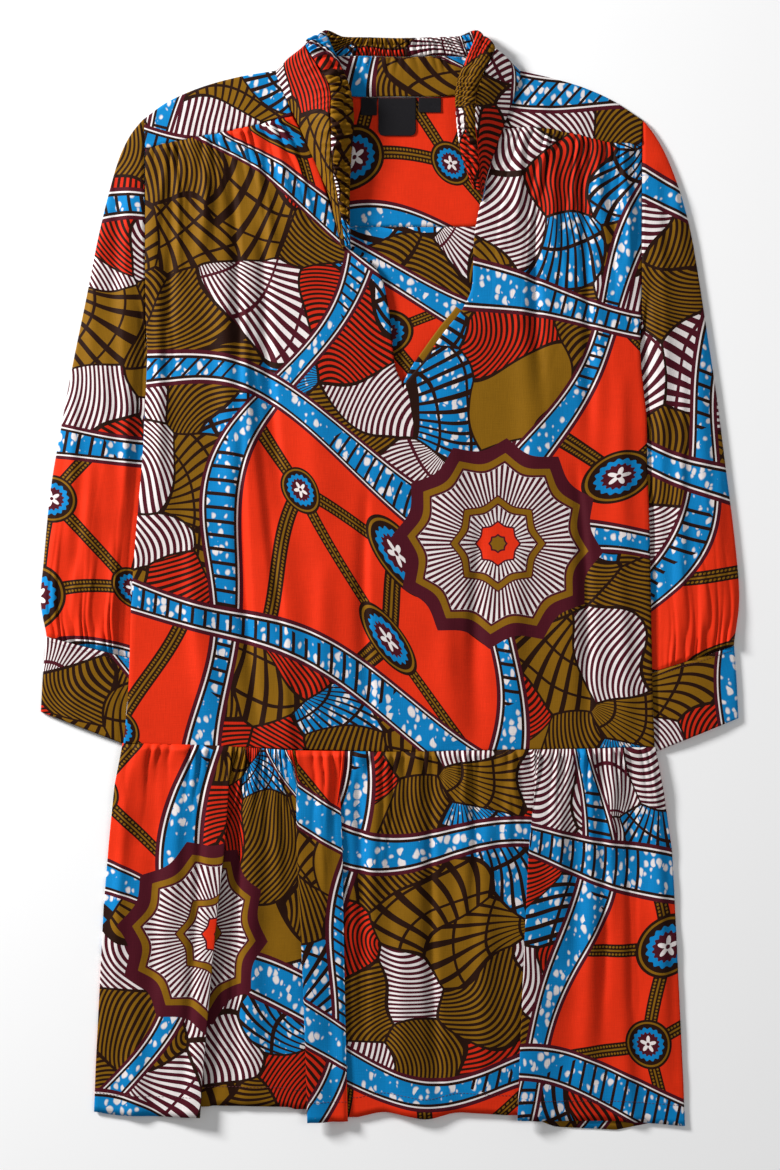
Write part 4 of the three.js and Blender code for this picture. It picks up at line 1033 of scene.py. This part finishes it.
def stitch_line(name, line, finish, pitch=3.2, length=2.3, thick=0.42, lift=0.05):
    """A row of sewing along a line of points on the cloth, as small rounded stitches in one mesh."""
    steps = np.linalg.norm(np.diff(line, axis=0), axis=1)
    run = np.concatenate([[0], np.cumsum(steps)])
    starts = np.arange(pitch / 2, run[-1] - pitch / 2, pitch)

    def at(s):
        return np.stack([np.interp(s, run, line[:, k]) for k in range(3)], axis=-1)

    rings = np.array([-0.5, -0.3, 0.0, 0.3, 0.5])
    fat = np.array([0.25, 0.85, 1.0, 0.85, 0.25]) * thick / 2
    sink = np.array([-0.3, 0.05, 0.12, 0.05, -0.3]) * thick
    turns = np.linspace(0, 2 * np.pi, 6, endpoint=False)
    centre = at(starts[:, None] + rings[None] * length)
    way = at(starts + 0.5 * length) - at(starts - 0.5 * length)
    way /= np.linalg.norm(way, axis=1, keepdims=True)
    aside = np.cross(way, [0, 0, 1.0])
    aside /= np.linalg.norm(aside, axis=1, keepdims=True)
    up = np.cross(aside, way)
    up *= np.sign(up[:, 2:])
    centre = centre + up[:, None] * (sink + lift + thick / 3)[None, :, None]
    around = aside[:, None, None] * np.cos(turns)[:, None] + up[:, None, None] * np.sin(turns)[:, None]
    points = centre[:, :, None] + around * fat[None, :, None, None]
    count, sections, sides = len(starts), len(rings), len(turns)
    index = np.arange(count * sections * sides).reshape(count, sections, sides)
    wrapped = np.concatenate([index, index[..., :1]], axis=2)
    walls = np.stack(
        [wrapped[:, :-1, :-1], wrapped[:, 1:, :-1], wrapped[:, 1:, 1:], wrapped[:, :-1, 1:]], axis=-1
    ).reshape(-1, 4)
    caps = np.concatenate([index[:, 0], index[:, -1, ::-1]])
    piece = laid_out(name, points.reshape(-1, 3), walls.tolist() + caps.tolist())
    return dress(piece, [], finish)


# Node work: a wire is a node's output that plain arithmetic joins on to further nodes

class Wire:
    def __init__(self, tree, socket):
        self.tree, self.socket = tree, socket

    def __add__(self, other):
        return calc("ADD", self, other)

    def __radd__(self, other):
        return calc("ADD", self, other)

    def __sub__(self, other):
        return calc("SUBTRACT", self, other)

    def __rsub__(self, other):
        return calc("SUBTRACT", other, self)

    def __mul__(self, other):
        return calc("MULTIPLY", self, other)

    def __rmul__(self, other):
        return calc("MULTIPLY", self, other)

    def __truediv__(self, other):
        return calc("DIVIDE", self, other)

    def __lt__(self, other):
        return calc("LESS_THAN", self, other)

    def __gt__(self, other):
        return calc("GREATER_THAN", self, other)


def put(tree, kind, inputs=None, **settings):
    """A node in its tree, with its settings and inputs."""
    node = tree.nodes.new(kind)
    number = len(tree.nodes)
    node.location = (190 * (number % 30), -240 * (number // 30))
    for name, value in settings.items():
        setattr(node, name, value)
    for key, value in (inputs or {}).items():
        if isinstance(value, Wire):
            tree.links.new(value.socket, node.inputs[key])
        else:
            node.inputs[key].default_value = value
    return node


def tree_of(*values):
    return next(value.tree for value in values if isinstance(value, Wire))


def calc(operation, *values, clamp=False):
    tree = tree_of(*values)
    node = put(tree, "ShaderNodeMath", dict(enumerate(values)), operation=operation, use_clamp=clamp)
    return Wire(tree, node.outputs[0])


def vector(operation, *values, scale=None):
    tree = tree_of(*values)
    inputs = dict(enumerate(values))
    if scale is not None:
        inputs["Scale"] = scale
    node = put(tree, "ShaderNodeVectorMath", inputs, operation=operation)
    scalar = operation in ("LENGTH", "DISTANCE", "DOT_PRODUCT")
    return Wire(tree, node.outputs["Value" if scalar else "Vector"])


def sine(value):
    return calc("SINE", value)


def part_of(value):
    return calc("FRACT", value)


def over(mask, under, upper):
    """One colour laid over another where the mask is 1."""
    tree = tree_of(mask)
    node = put(tree, "ShaderNodeMix", {0: mask, 6: under, 7: upper}, data_type="RGBA")
    return Wire(tree, node.outputs[2])


def between(share, start, end):
    tree = tree_of(share, start, end)
    node = put(tree, "ShaderNodeMix", {0: share, 2: start, 3: end}, data_type="FLOAT")
    return Wire(tree, node.outputs[0])


def bands(value, span, stops):
    """Flat bands of colour that start at the distances given, out of the whole span."""
    tree = value.tree
    node = put(tree, "ShaderNodeValToRGB", {0: value / span})
    ramp = node.color_ramp
    ramp.interpolation = "CONSTANT"
    for number, (start, colour) in enumerate(stops):
        stop = ramp.elements[number] if number < 2 else ramp.elements.new(start / span)
        stop.position = start / span
        stop.color = colour
    return Wire(tree, node.outputs[0])


def cells(place, size, randomness):
    inputs = {"Vector": place, "Scale": 1 / size, "Randomness": randomness}
    node = put(place.tree, "ShaderNodeTexVoronoi", inputs)
    node.voronoi_dimensions = "2D"
    return node


def noise(place, size, detail=1.0, output="Fac"):
    node = put(place.tree, "ShaderNodeTexNoise", {"Vector": place, "Scale": 1 / size, "Detail": detail})
    node.noise_dimensions = "2D"
    return Wire(place.tree, node.outputs[output])


def shaken(place, size, reach):
    """A place moved aside by soft noise, up to about half the reach each way."""
    aside = vector("SUBTRACT", noise(place, size, 0, "Color"), (0.5, 0.5, 0.5))
    return vector("ADD", place, vector("MULTIPLY", aside, (reach, reach, 0)))


def split(place):
    node = put(place.tree, "ShaderNodeSeparateXYZ", {0: place})
    return [Wire(place.tree, node.outputs[k]) for k in range(3)]


def joined(x, y):
    tree = tree_of(x, y)
    return Wire(tree, put(tree, "ShaderNodeCombineXYZ", {0: x, 1: y}).outputs[0])


def about_centres(place, centres):
    """How far out a place lies from the nearest of the centres, in sizes of it, and at what angle."""
    nearest = spoke = None
    for x, y, size in centres:
        away = vector("SUBTRACT", place, (x, y, 0))
        radius = vector("LENGTH", away) / size
        across, up, _ = split(away)
        angle = calc("ARCTAN2", up, across)
        if nearest is None:
            nearest, spoke = radius, angle
        else:
            spoke = between(radius < nearest, spoke, angle)
            nearest = calc("MINIMUM", nearest, radius)
    return nearest, spoke


def group(name, inputs, outputs):
    """An empty node group with its sockets, and its input and output nodes."""
    tree = bpy.data.node_groups.new(name, "ShaderNodeTree")
    for socket, kind in inputs.items():
        tree.interface.new_socket(socket, in_out="INPUT", socket_type=f"NodeSocket{kind}")
    for socket, kind in outputs.items():
        tree.interface.new_socket(socket, in_out="OUTPUT", socket_type=f"NodeSocket{kind}")
    return tree, tree.nodes.new("NodeGroupInput"), tree.nodes.new("NodeGroupOutput")


def paint(red, green, blue):
    """A colour as a dye card gives it, 0 to 255, in the light that a shader works in."""
    line = [value / 255 for value in (red, green, blue)]
    return tuple(v / 12.92 if v <= 0.04045 else ((v + 0.055) / 1.055) ** 2.4 for v in line) + (1.0,)


VERMILION = paint(218, 46, 14)
OLIVE = paint(127, 88, 10)
BLUE = paint(6, 122, 184)
MAROON = paint(72, 14, 27)
DARK = paint(35, 13, 4)
WHITE = paint(226, 218, 216)
BRICK = paint(198, 38, 14)

TURN = 2 * math.pi
RIBBON_PITCH = 212.0  # from one level ribbon to the next
STANDING_PITCH = 258.0  # from one standing ribbon to the next
RIBBON_EDGE = 7.4  # width of the lines along the edges of a ribbon
RUNG_PITCH = 11.5
FLECK_PITCH = 6.6
STRAND_HALF, STRAND_CORE = 6.6, 0.9  # half the width of a beaded strand and of its middle line
BEAD_PITCH, BEAD_ASIDE, BEAD_RADIUS = 3.3, 3.7, 1.15
PATCH = 70.0  # size of a lined patch
PATCH_BORDER = 1.4  # half the width of the dark line round it

# Kinds of patch: how many there are of each in a hundred, the ground and the ink, the pitch of the arcs
# and the inked share of it, the spokes in a turn and the inked share of theirs, and 1 where the ground
# has pale flecks
PATCH_KINDS = table(
    "part ground ink pitch inked spokes spoked flecked",
    (11, BRICK, DARK, 4.6, 0.5, 10, 0, 0),
    (18, OLIVE, DARK, 31, 0.09, 52, 0.34, 0),
    (15, WHITE, MAROON, 4.8, 0.54, 10, 0, 0),
    (16, OLIVE, DARK, 4.4, 0.52, 10, 0, 0),
    (12, BLUE, DARK, 36, 0.09, 60, 0.36, 1),
    (5, OLIVE, DARK, 44, 0, 10, 0, 0),
    (8, WHITE, MAROON, 40, 0.07, 80, 0.54, 0),
    (15, OLIVE, DARK, 4.4, 0.52, 10, 0, 0),
)
# A band of colour carries a pitch and a count of spokes as shares of the most that they can be
MOST_PITCH, MOST_SPOKES = 50.0, 100.0

# Middles and sizes of the hubs in a field, the strands between two hubs or from one to a place, and
# middles and sizes of the flowers on the bolt
HUBS = ((-54.0, 30.0, 1.0), (42.0, 46.0, 1.4), (20.0, -46.0, 1.15))
STRANDS = (
    (0, 1), (1, 2), (2, 0),
    (0, (-150.0, 84.0)), (0, (-96.0, -118.0)), (1, (84.0, 120.0)), (1, (150.0, 6.0)),
    (2, (-26.0, -124.0)), (2, (112.0, -104.0)),
)
FLOWERS = ((98.0, 34.0, 96.0), (-128.0, -262.0, 92.0), (742.0, -40.0, 104.0), (1168.0, 112.0, 62.0))
PETAL_LINES, HEART_LINES = 84, 44  # lines in a turn, in the petals and in the heart
HEART = 0.46  # size of a flower's heart, as a share of the flower
HATCHED = 0.76  # the share of a petal that is hatched
FLOWER_SPAN = 1.25  # how far out the bands of a flower are counted
HUB_EDGE = 21.0  # radius of a hub of size 1
HUB_SCALLOPS, HUB_PETALS = 16.0, 5.0


def print_flecks(place):
    """Pale rounded flecks, uneven in size, where the blue dye was held off."""
    stirred = vector("MULTIPLY", shaken(place, size=7.0, reach=3), (1, 0.66, 1))
    spots = cells(stirred, size=FLECK_PITCH, randomness=1.0)
    chance = split(Wire(place.tree, spots.outputs["Color"]))[0]
    held_off = chance * 0.56 - 0.03 - Wire(place.tree, spots.outputs["Distance"])
    return calc("MULTIPLY", held_off, 6.5, clamp=True)


def print_fans(place, flecks):
    """Patches lined with arcs, or with spokes and a few arcs across them, each about its own centre."""
    tree = place.tree
    bent, calm = shaken(place, size=80, reach=60), shaken(place, size=80, reach=30)
    cell, border = (cells(bent, size=PATCH, randomness=0.9) for _ in range(2))
    border.feature = "DISTANCE_TO_EDGE"
    heading, reach, kind = split(Wire(tree, cell.outputs["Color"]))
    turn = heading * TURN
    reach = reach * 46 + 60
    aside = joined(calc("COSINE", turn) * reach, sine(turn) * reach)
    centre = vector("ADD", Wire(tree, cell.outputs["Position"]), aside)
    away = vector("SUBTRACT", calm, centre)
    across, up, _ = split(away)
    radius, angle = vector("LENGTH", away), calc("ARCTAN2", up, across)
    starts = np.cumsum([0] + [row["part"] for row in PATCH_KINDS[:-1]]) / 100

    def by_kind(colour_of):
        return bands(kind, 1, [(start, colour_of(row)) for start, row in zip(starts, PATCH_KINDS)])

    ground, ink = by_kind(lambda row: row["ground"]), by_kind(lambda row: row["ink"])
    ruling = by_kind(lambda row: (row["pitch"] / MOST_PITCH, row["inked"], row["spokes"] / MOST_SPOKES, 1))
    spoking = by_kind(lambda row: (row["spoked"], row["flecked"], 0, 1))
    pitch, inked, spokes = split(ruling)
    spoked, flecked, _ = split(spoking)
    arc = part_of(radius / (pitch * MOST_PITCH)) < inked
    spoke = part_of(angle * spokes * (MOST_SPOKES / TURN)) < spoked
    colour = over(flecks * flecked, ground, WHITE)
    colour = over(calc("MAXIMUM", arc, spoke), colour, ink)
    return over(Wire(tree, border.outputs["Distance"]) * PATCH < PATCH_BORDER, colour, DARK)


def print_ribbon(place, inside, run, flecks):
    """A blue ribbon with pale flecks, edged in maroon and white, from the distance inside its edge."""
    blue = over(flecks, BLUE, WHITE)
    rungs = (part_of(run / RUNG_PITCH) < 0.26) * (noise(place, size=120, detail=0) > 0.57)
    blue = over(rungs, blue, DARK)
    edge = bands(inside, 10, ((0, MAROON), (3.4, WHITE), (4.9, DARK)))
    return over(inside > RIBBON_EDGE, edge, blue)


def print_chains(across, up):
    """Beaded strands between round hubs on a plain ground, in the measure of one field of the print."""
    place = joined(across, up)
    nearest = along = None
    for start, end in STRANDS:
        a = np.array(HUBS[start][:2])
        b = np.array(HUBS[end][:2] if isinstance(end, int) else end)
        length = float(np.linalg.norm(b - a))
        way = (b - a) / length
        from_start = vector("SUBTRACT", place, (*a, 0))
        ahead = vector("DOT_PRODUCT", from_start, (*way, 0))
        held = calc("MINIMUM", calc("MAXIMUM", ahead, 0.0), length)
        foot = joined(held * float(way[0]), held * float(way[1]))
        aside = vector("LENGTH", vector("SUBTRACT", from_start, foot))
        if nearest is None:
            nearest, along = aside, held
        else:
            closer = aside < nearest
            along = between(closer, along, held)
            nearest = calc("MINIMUM", nearest, aside)
    bead_along = (part_of(along / BEAD_PITCH) - 0.5) * BEAD_PITCH
    bead_aside = nearest - BEAD_ASIDE
    bead = calc("SQRT", bead_along * bead_along + bead_aside * bead_aside) < BEAD_RADIUS
    colour = over(nearest < STRAND_HALF, VERMILION, DARK)
    colour = over(bead + (nearest < STRAND_CORE) > 0.5, colour, OLIVE)
    return print_hubs(place, colour)


def print_hubs(place, colour):
    """Round hubs with a scalloped blue ring and a small pale blossom, over the strands."""
    nearest, spoke = about_centres(place, HUBS)
    scallop = 0.8 * calc("COSINE", spoke * HUB_SCALLOPS) * (nearest > 9.0) * (nearest < 16.0)
    rings = bands(nearest + scallop, 24, (
        (0, MAROON), (9.6, BLUE), (13.6, DARK), (17.4, OLIVE), (19.0, DARK),
    ))
    petals = nearest < (calc("COSINE", spoke * HUB_PETALS) * 2.4 + 4.9)
    rings = over(petals, rings, WHITE)
    rings = over(nearest < 1.5, rings, MAROON)
    return over(nearest < HUB_EDGE, colour, rings)


def print_flowers(place, colour):
    """Large flowers with pointed petals: hatched rings between scalloped borders."""
    nearest, spoke = about_centres(place, FLOWERS)
    point = calc("ABSOLUTE", sine(spoke * 6.0 + 0.5))
    petal = nearest / (1.0 - 0.11 * point)
    heart = nearest / (1.0 - 0.16 * calc("ABSOLUTE", sine(spoke * 4.0)))
    rings = bands(petal, FLOWER_SPAN, (
        (0, WHITE), (HATCHED, MAROON), (0.785, OLIVE), (0.855, MAROON),
    ))
    hatch = (part_of(spoke * (PETAL_LINES / TURN)) < (0.75 - 0.33 * petal)) * (petal < HATCHED)
    rings = over(hatch, rings, MAROON)
    core = bands(heart, FLOWER_SPAN, (
        (0, OLIVE), (0.07, MAROON), (0.09, VERMILION), (0.2, MAROON), (0.215, WHITE), (0.36, MAROON),
        (0.38, OLIVE), (0.44, MAROON),
    ))
    dashes = (part_of(spoke * (HEART_LINES / TURN)) < 0.5) * (heart > 0.215) * (heart < 0.36)
    core = over(dashes, core, MAROON)
    rings = over(heart < HEART, rings, core)
    return over(petal < 1.0, colour, rings)


def make_wax_print():
    """The print of the cloth by its place on the bolt: ribbons part it into fields, which are filled in
    turn with lined patches and with beaded strands, and large flowers lie over all."""
    tree, start, end = group("wax print", {"Cloth": "Vector"}, {"Colour": "Color"})
    place = vector("SCALE", Wire(tree, start.outputs["Cloth"]), scale=1 / MM)
    x, y, _ = split(place)
    level = y + 0.3 * x + 34 * sine(x / 92 + 0.4) + 13 * sine(x / 41 + y / 150)
    standing = x - 0.26 * y + 36 * sine(y / 112 + 1.1) + 15 * sine(y / 49 + x / 170)
    level_turn, standing_turn = level / RIBBON_PITCH, standing / STANDING_PITCH
    level_aside = calc("ABSOLUTE", part_of(level_turn) - 0.5) * RIBBON_PITCH
    standing_aside = calc("ABSOLUTE", part_of(standing_turn) - 0.5) * STANDING_PITCH
    row, file = calc("FLOOR", level_turn + 0.5), calc("FLOOR", standing_turn + 0.5)
    beaded_field = part_of((row - file + 0.5) / 3.0) < 0.33
    mirror_row = 1 - 4 * part_of(row * 0.5)
    mirror_file = 1 - 4 * part_of(file * 0.5)
    across = (part_of(standing_turn + 0.5) - 0.5) * STANDING_PITCH * mirror_row
    up = (part_of(level_turn + 0.5) - 0.5) * RIBBON_PITCH * mirror_file
    flecks = print_flecks(place)
    colour = over(beaded_field, print_fans(place, flecks), print_chains(across, up))
    inside = (17 + 4 * sine(y / 47)) - standing_aside
    colour = over(inside > 0, colour, print_ribbon(place, inside, level, flecks))
    inside = (19 + 5 * sine(x / 61 + 1)) - level_aside
    colour = over(inside > 0, colour, print_ribbon(place, inside, standing, flecks))
    colour = print_flowers(place, colour)
    tree.links.new(colour.socket, end.inputs["Colour"])
    return tree


def make_cotton_weave():
    """Fine plain-woven cotton: Height of its threads and slubs, and Tone, how evenly it took the dye."""
    tree, start, end = group("cotton weave", {"Cloth": "Vector"}, {"Height": "Float", "Tone": "Float"})
    place = vector("SCALE", Wire(tree, start.outputs["Cloth"]), scale=1 / MM)
    warp = noise(vector("MULTIPLY", place, (1, 0.06, 1)), size=0.8, detail=2)
    weft = noise(vector("MULTIPLY", place, (0.06, 1, 1)), size=0.8, detail=2)
    height = warp + weft
    patchy = noise(place, size=34, detail=3) - 0.5
    tone = 1.0 + 0.2 * (warp - 0.5) + 0.16 * (weft - 0.5) + 0.16 * patchy
    tree.links.new(height.socket, end.inputs["Height"])
    tree.links.new(tone.socket, end.inputs["Tone"])
    return tree


def plain_material(name, colour, roughness):
    material = bpy.data.materials.new(name)
    material.use_nodes = True
    shader = material.node_tree.nodes["Principled BSDF"]
    shader.inputs["Base Color"].default_value = colour
    shader.inputs["Roughness"].default_value = roughness
    return material, material.node_tree, shader


def printed_cotton(print_group, weave_group):
    material, tree, shader = plain_material("printed cotton", WHITE, 0.8)
    cloth = Wire(tree, put(tree, "ShaderNodeUVMap", uv_map="cloth").outputs[0])
    pattern = put(tree, "ShaderNodeGroup", node_tree=print_group)
    weave = put(tree, "ShaderNodeGroup", node_tree=weave_group)
    for node in (pattern, weave):
        tree.links.new(cloth.socket, node.inputs["Cloth"])
    tone, height = Wire(tree, weave.outputs["Tone"]), Wire(tree, weave.outputs["Height"])
    dyed = vector("SCALE", Wire(tree, pattern.outputs["Colour"]), scale=tone)
    bump = put(tree, "ShaderNodeBump", {"Strength": 0.35, "Distance": 0.00025, "Height": height})
    tree.links.new(dyed.socket, shader.inputs["Base Color"])
    tree.links.new((0.78 - 0.1 * tone).socket, shader.inputs["Roughness"])
    tree.links.new(bump.outputs[0], shader.inputs["Normal"])
    shader.inputs["Specular IOR Level"].default_value = 0.09
    return material


RIB_PITCH = 0.55  # of the ribbon that the labels are cut from


def label_weave():
    """Black satin ribbon with fine ribs across it."""
    material, tree, shader = plain_material("label weave", paint(22, 21, 25), 0.5)
    cloth = Wire(tree, put(tree, "ShaderNodeUVMap", uv_map="cloth").outputs[0])
    place = vector("SCALE", cloth, scale=1 / MM)
    ribs = 0.5 + 0.5 * sine(split(place)[1] * (TURN / RIB_PITCH))
    threads = noise(vector("MULTIPLY", place, (1, 0.15, 1)), size=0.4, detail=2)
    bump = put(tree, "ShaderNodeBump", {"Strength": 0.4, "Distance": 0.0002, "Height": ribs + threads})
    worn = over(calc("MULTIPLY", threads, 0.5), paint(14, 13, 16), paint(42, 40, 44))
    tree.links.new(worn.socket, shader.inputs["Base Color"])
    tree.links.new(bump.outputs[0], shader.inputs["Normal"])
    tree.links.new((0.5 + 0.2 * threads).socket, shader.inputs["Roughness"])
    shader.inputs["Specular IOR Level"].default_value = 0.12
    return material


def sewing_thread():
    material, tree, shader = plain_material("sewing thread", MAROON, 0.6)
    position = Wire(tree, put(tree, "ShaderNodeNewGeometry").outputs["Position"])
    twist = put(tree, "ShaderNodeTexNoise", {"Vector": position, "Scale": 2600.0, "Detail": 1.0})
    fuzz = Wire(tree, twist.outputs["Fac"])
    tree.links.new(over(fuzz, paint(70, 22, 34), paint(112, 44, 56)).socket, shader.inputs["Base Color"])
    bump = put(tree, "ShaderNodeBump", {"Strength": 0.3, "Distance": 0.0001, "Height": fuzz})
    tree.links.new(bump.outputs[0], shader.inputs["Normal"])
    return material


# The tunic

cotton = printed_cotton(make_wax_print(), make_cotton_weave())
thread = sewing_thread()
label_cloth = label_weave()

make_front_bodice(cotton)
skirt_top, skirt_run = make_skirt_front(cotton)
make_back_bodice(cotton)
skirt_back_top = make_skirt_back(cotton)
make_back_yoke(cotton)
make_front_yoke("left", LEFT_YOKE, cotton)
make_front_yoke("right", RIGHT_YOKE, cotton)
make_sleeve("left", LEFT_SLEEVE, LEFT_SLEEVE_CREASES, seed=61, finish=cotton)
make_sleeve("right", RIGHT_SLEEVE, RIGHT_SLEEVE_CREASES, seed=71, finish=cotton)
cuff_left = make_cuff("left", LEFT_CUFF, seed=81, finish=cotton)
cuff_right = make_cuff("right", RIGHT_CUFF, seed=91, finish=cotton)
collar_top = make_collar(cotton)
make_collar_casing(cotton)
make_slit_facing(cotton)
labels = {node: make_label(node, shape, label_cloth) for node, shape in LABELS.items()}

middle_run = skirt_run[:, 100]
hem_row = int(np.argmin(np.abs(middle_run[-1] - middle_run - HEM_DEPTH)))
stitch_line("stitches_hem_front", skirt_top[hem_row], thread)
stitch_line("stitches_hem_back", skirt_back_top[-4], thread)
for side, cuff in (("left", cuff_left), ("right", cuff_right)):
    stitch_line(f"stitches_cuff_{side}", cuff[2, 4:-4], thread, pitch=2.8, length=2.0, thick=0.3)
stitch_line("stitches_casing", collar_top[-2, 4:-4], thread, pitch=2.8, length=1.9, thick=0.3)
for node, grid in labels.items():
    stitch_line(f"stitches_{node}", grid[1, 2:-2], thread, pitch=2.2, length=1.6, thick=0.3)

# Floor, light and camera

FLOOR_SIZE = 12.0
PIXEL = 0.91 * MM  # width of a pixel of the photograph on the surface
PHOTO_HEIGHT = 1170
LENS, SENSOR = 85.0, 36.0
CAMERA_Y = -4.4 * MM

floor_mesh = bpy.data.meshes.new("floor")
far = FLOOR_SIZE / 2
corners = [(-far, -far, 0), (far, -far, 0), (far, far, 0), (-far, far, 0)]
floor_mesh.from_pydata(corners, [], [(0, 1, 2, 3)])
floor_mesh.materials.append(plain_material("pale floor", (0.97, 0.97, 0.972, 1), 0.9)[0])
floor = bpy.data.objects.new("floor", floor_mesh)
floor.location.z = -0.2 * MM
bpy.context.scene.collection.objects.link(floor)


def soft_light(name, place, size, power):
    """A round soft light that looks at the middle of the garment."""
    data = bpy.data.lights.new(name, "AREA")
    data.shape = "DISK"
    data.size = size
    data.energy = power
    lamp = bpy.data.objects.new(name, data)
    lamp.location = place
    across, up, height = place
    lamp.rotation_euler = (math.acos(height / np.linalg.norm(place)), 0, math.atan2(across, -up))
    bpy.context.scene.collection.objects.link(lamp)


soft_light("key light", (-2.3, 1.45, 1.15), size=0.7, power=143)
soft_light("fill light", (1.8, 0.2, 2.6), size=1.6, power=14)

world = bpy.data.worlds.new("studio")
world.use_nodes = True
world.node_tree.nodes["Background"].inputs["Color"].default_value = (1, 1, 1, 1)
world.node_tree.nodes["Background"].inputs["Strength"].default_value = 0.25
bpy.context.scene.world = world
bpy.context.scene.view_settings.view_transform = "Standard"

camera_data = bpy.data.cameras.new("camera")
camera_data.lens = LENS
camera_data.sensor_fit = "VERTICAL"
camera_data.sensor_height = SENSOR
camera = bpy.data.objects.new("camera", camera_data)
camera.location = (0, CAMERA_Y, PHOTO_HEIGHT * PIXEL * LENS / SENSOR)
bpy.context.scene.collection.objects.link(camera)
bpy.context.scene.camera = camera
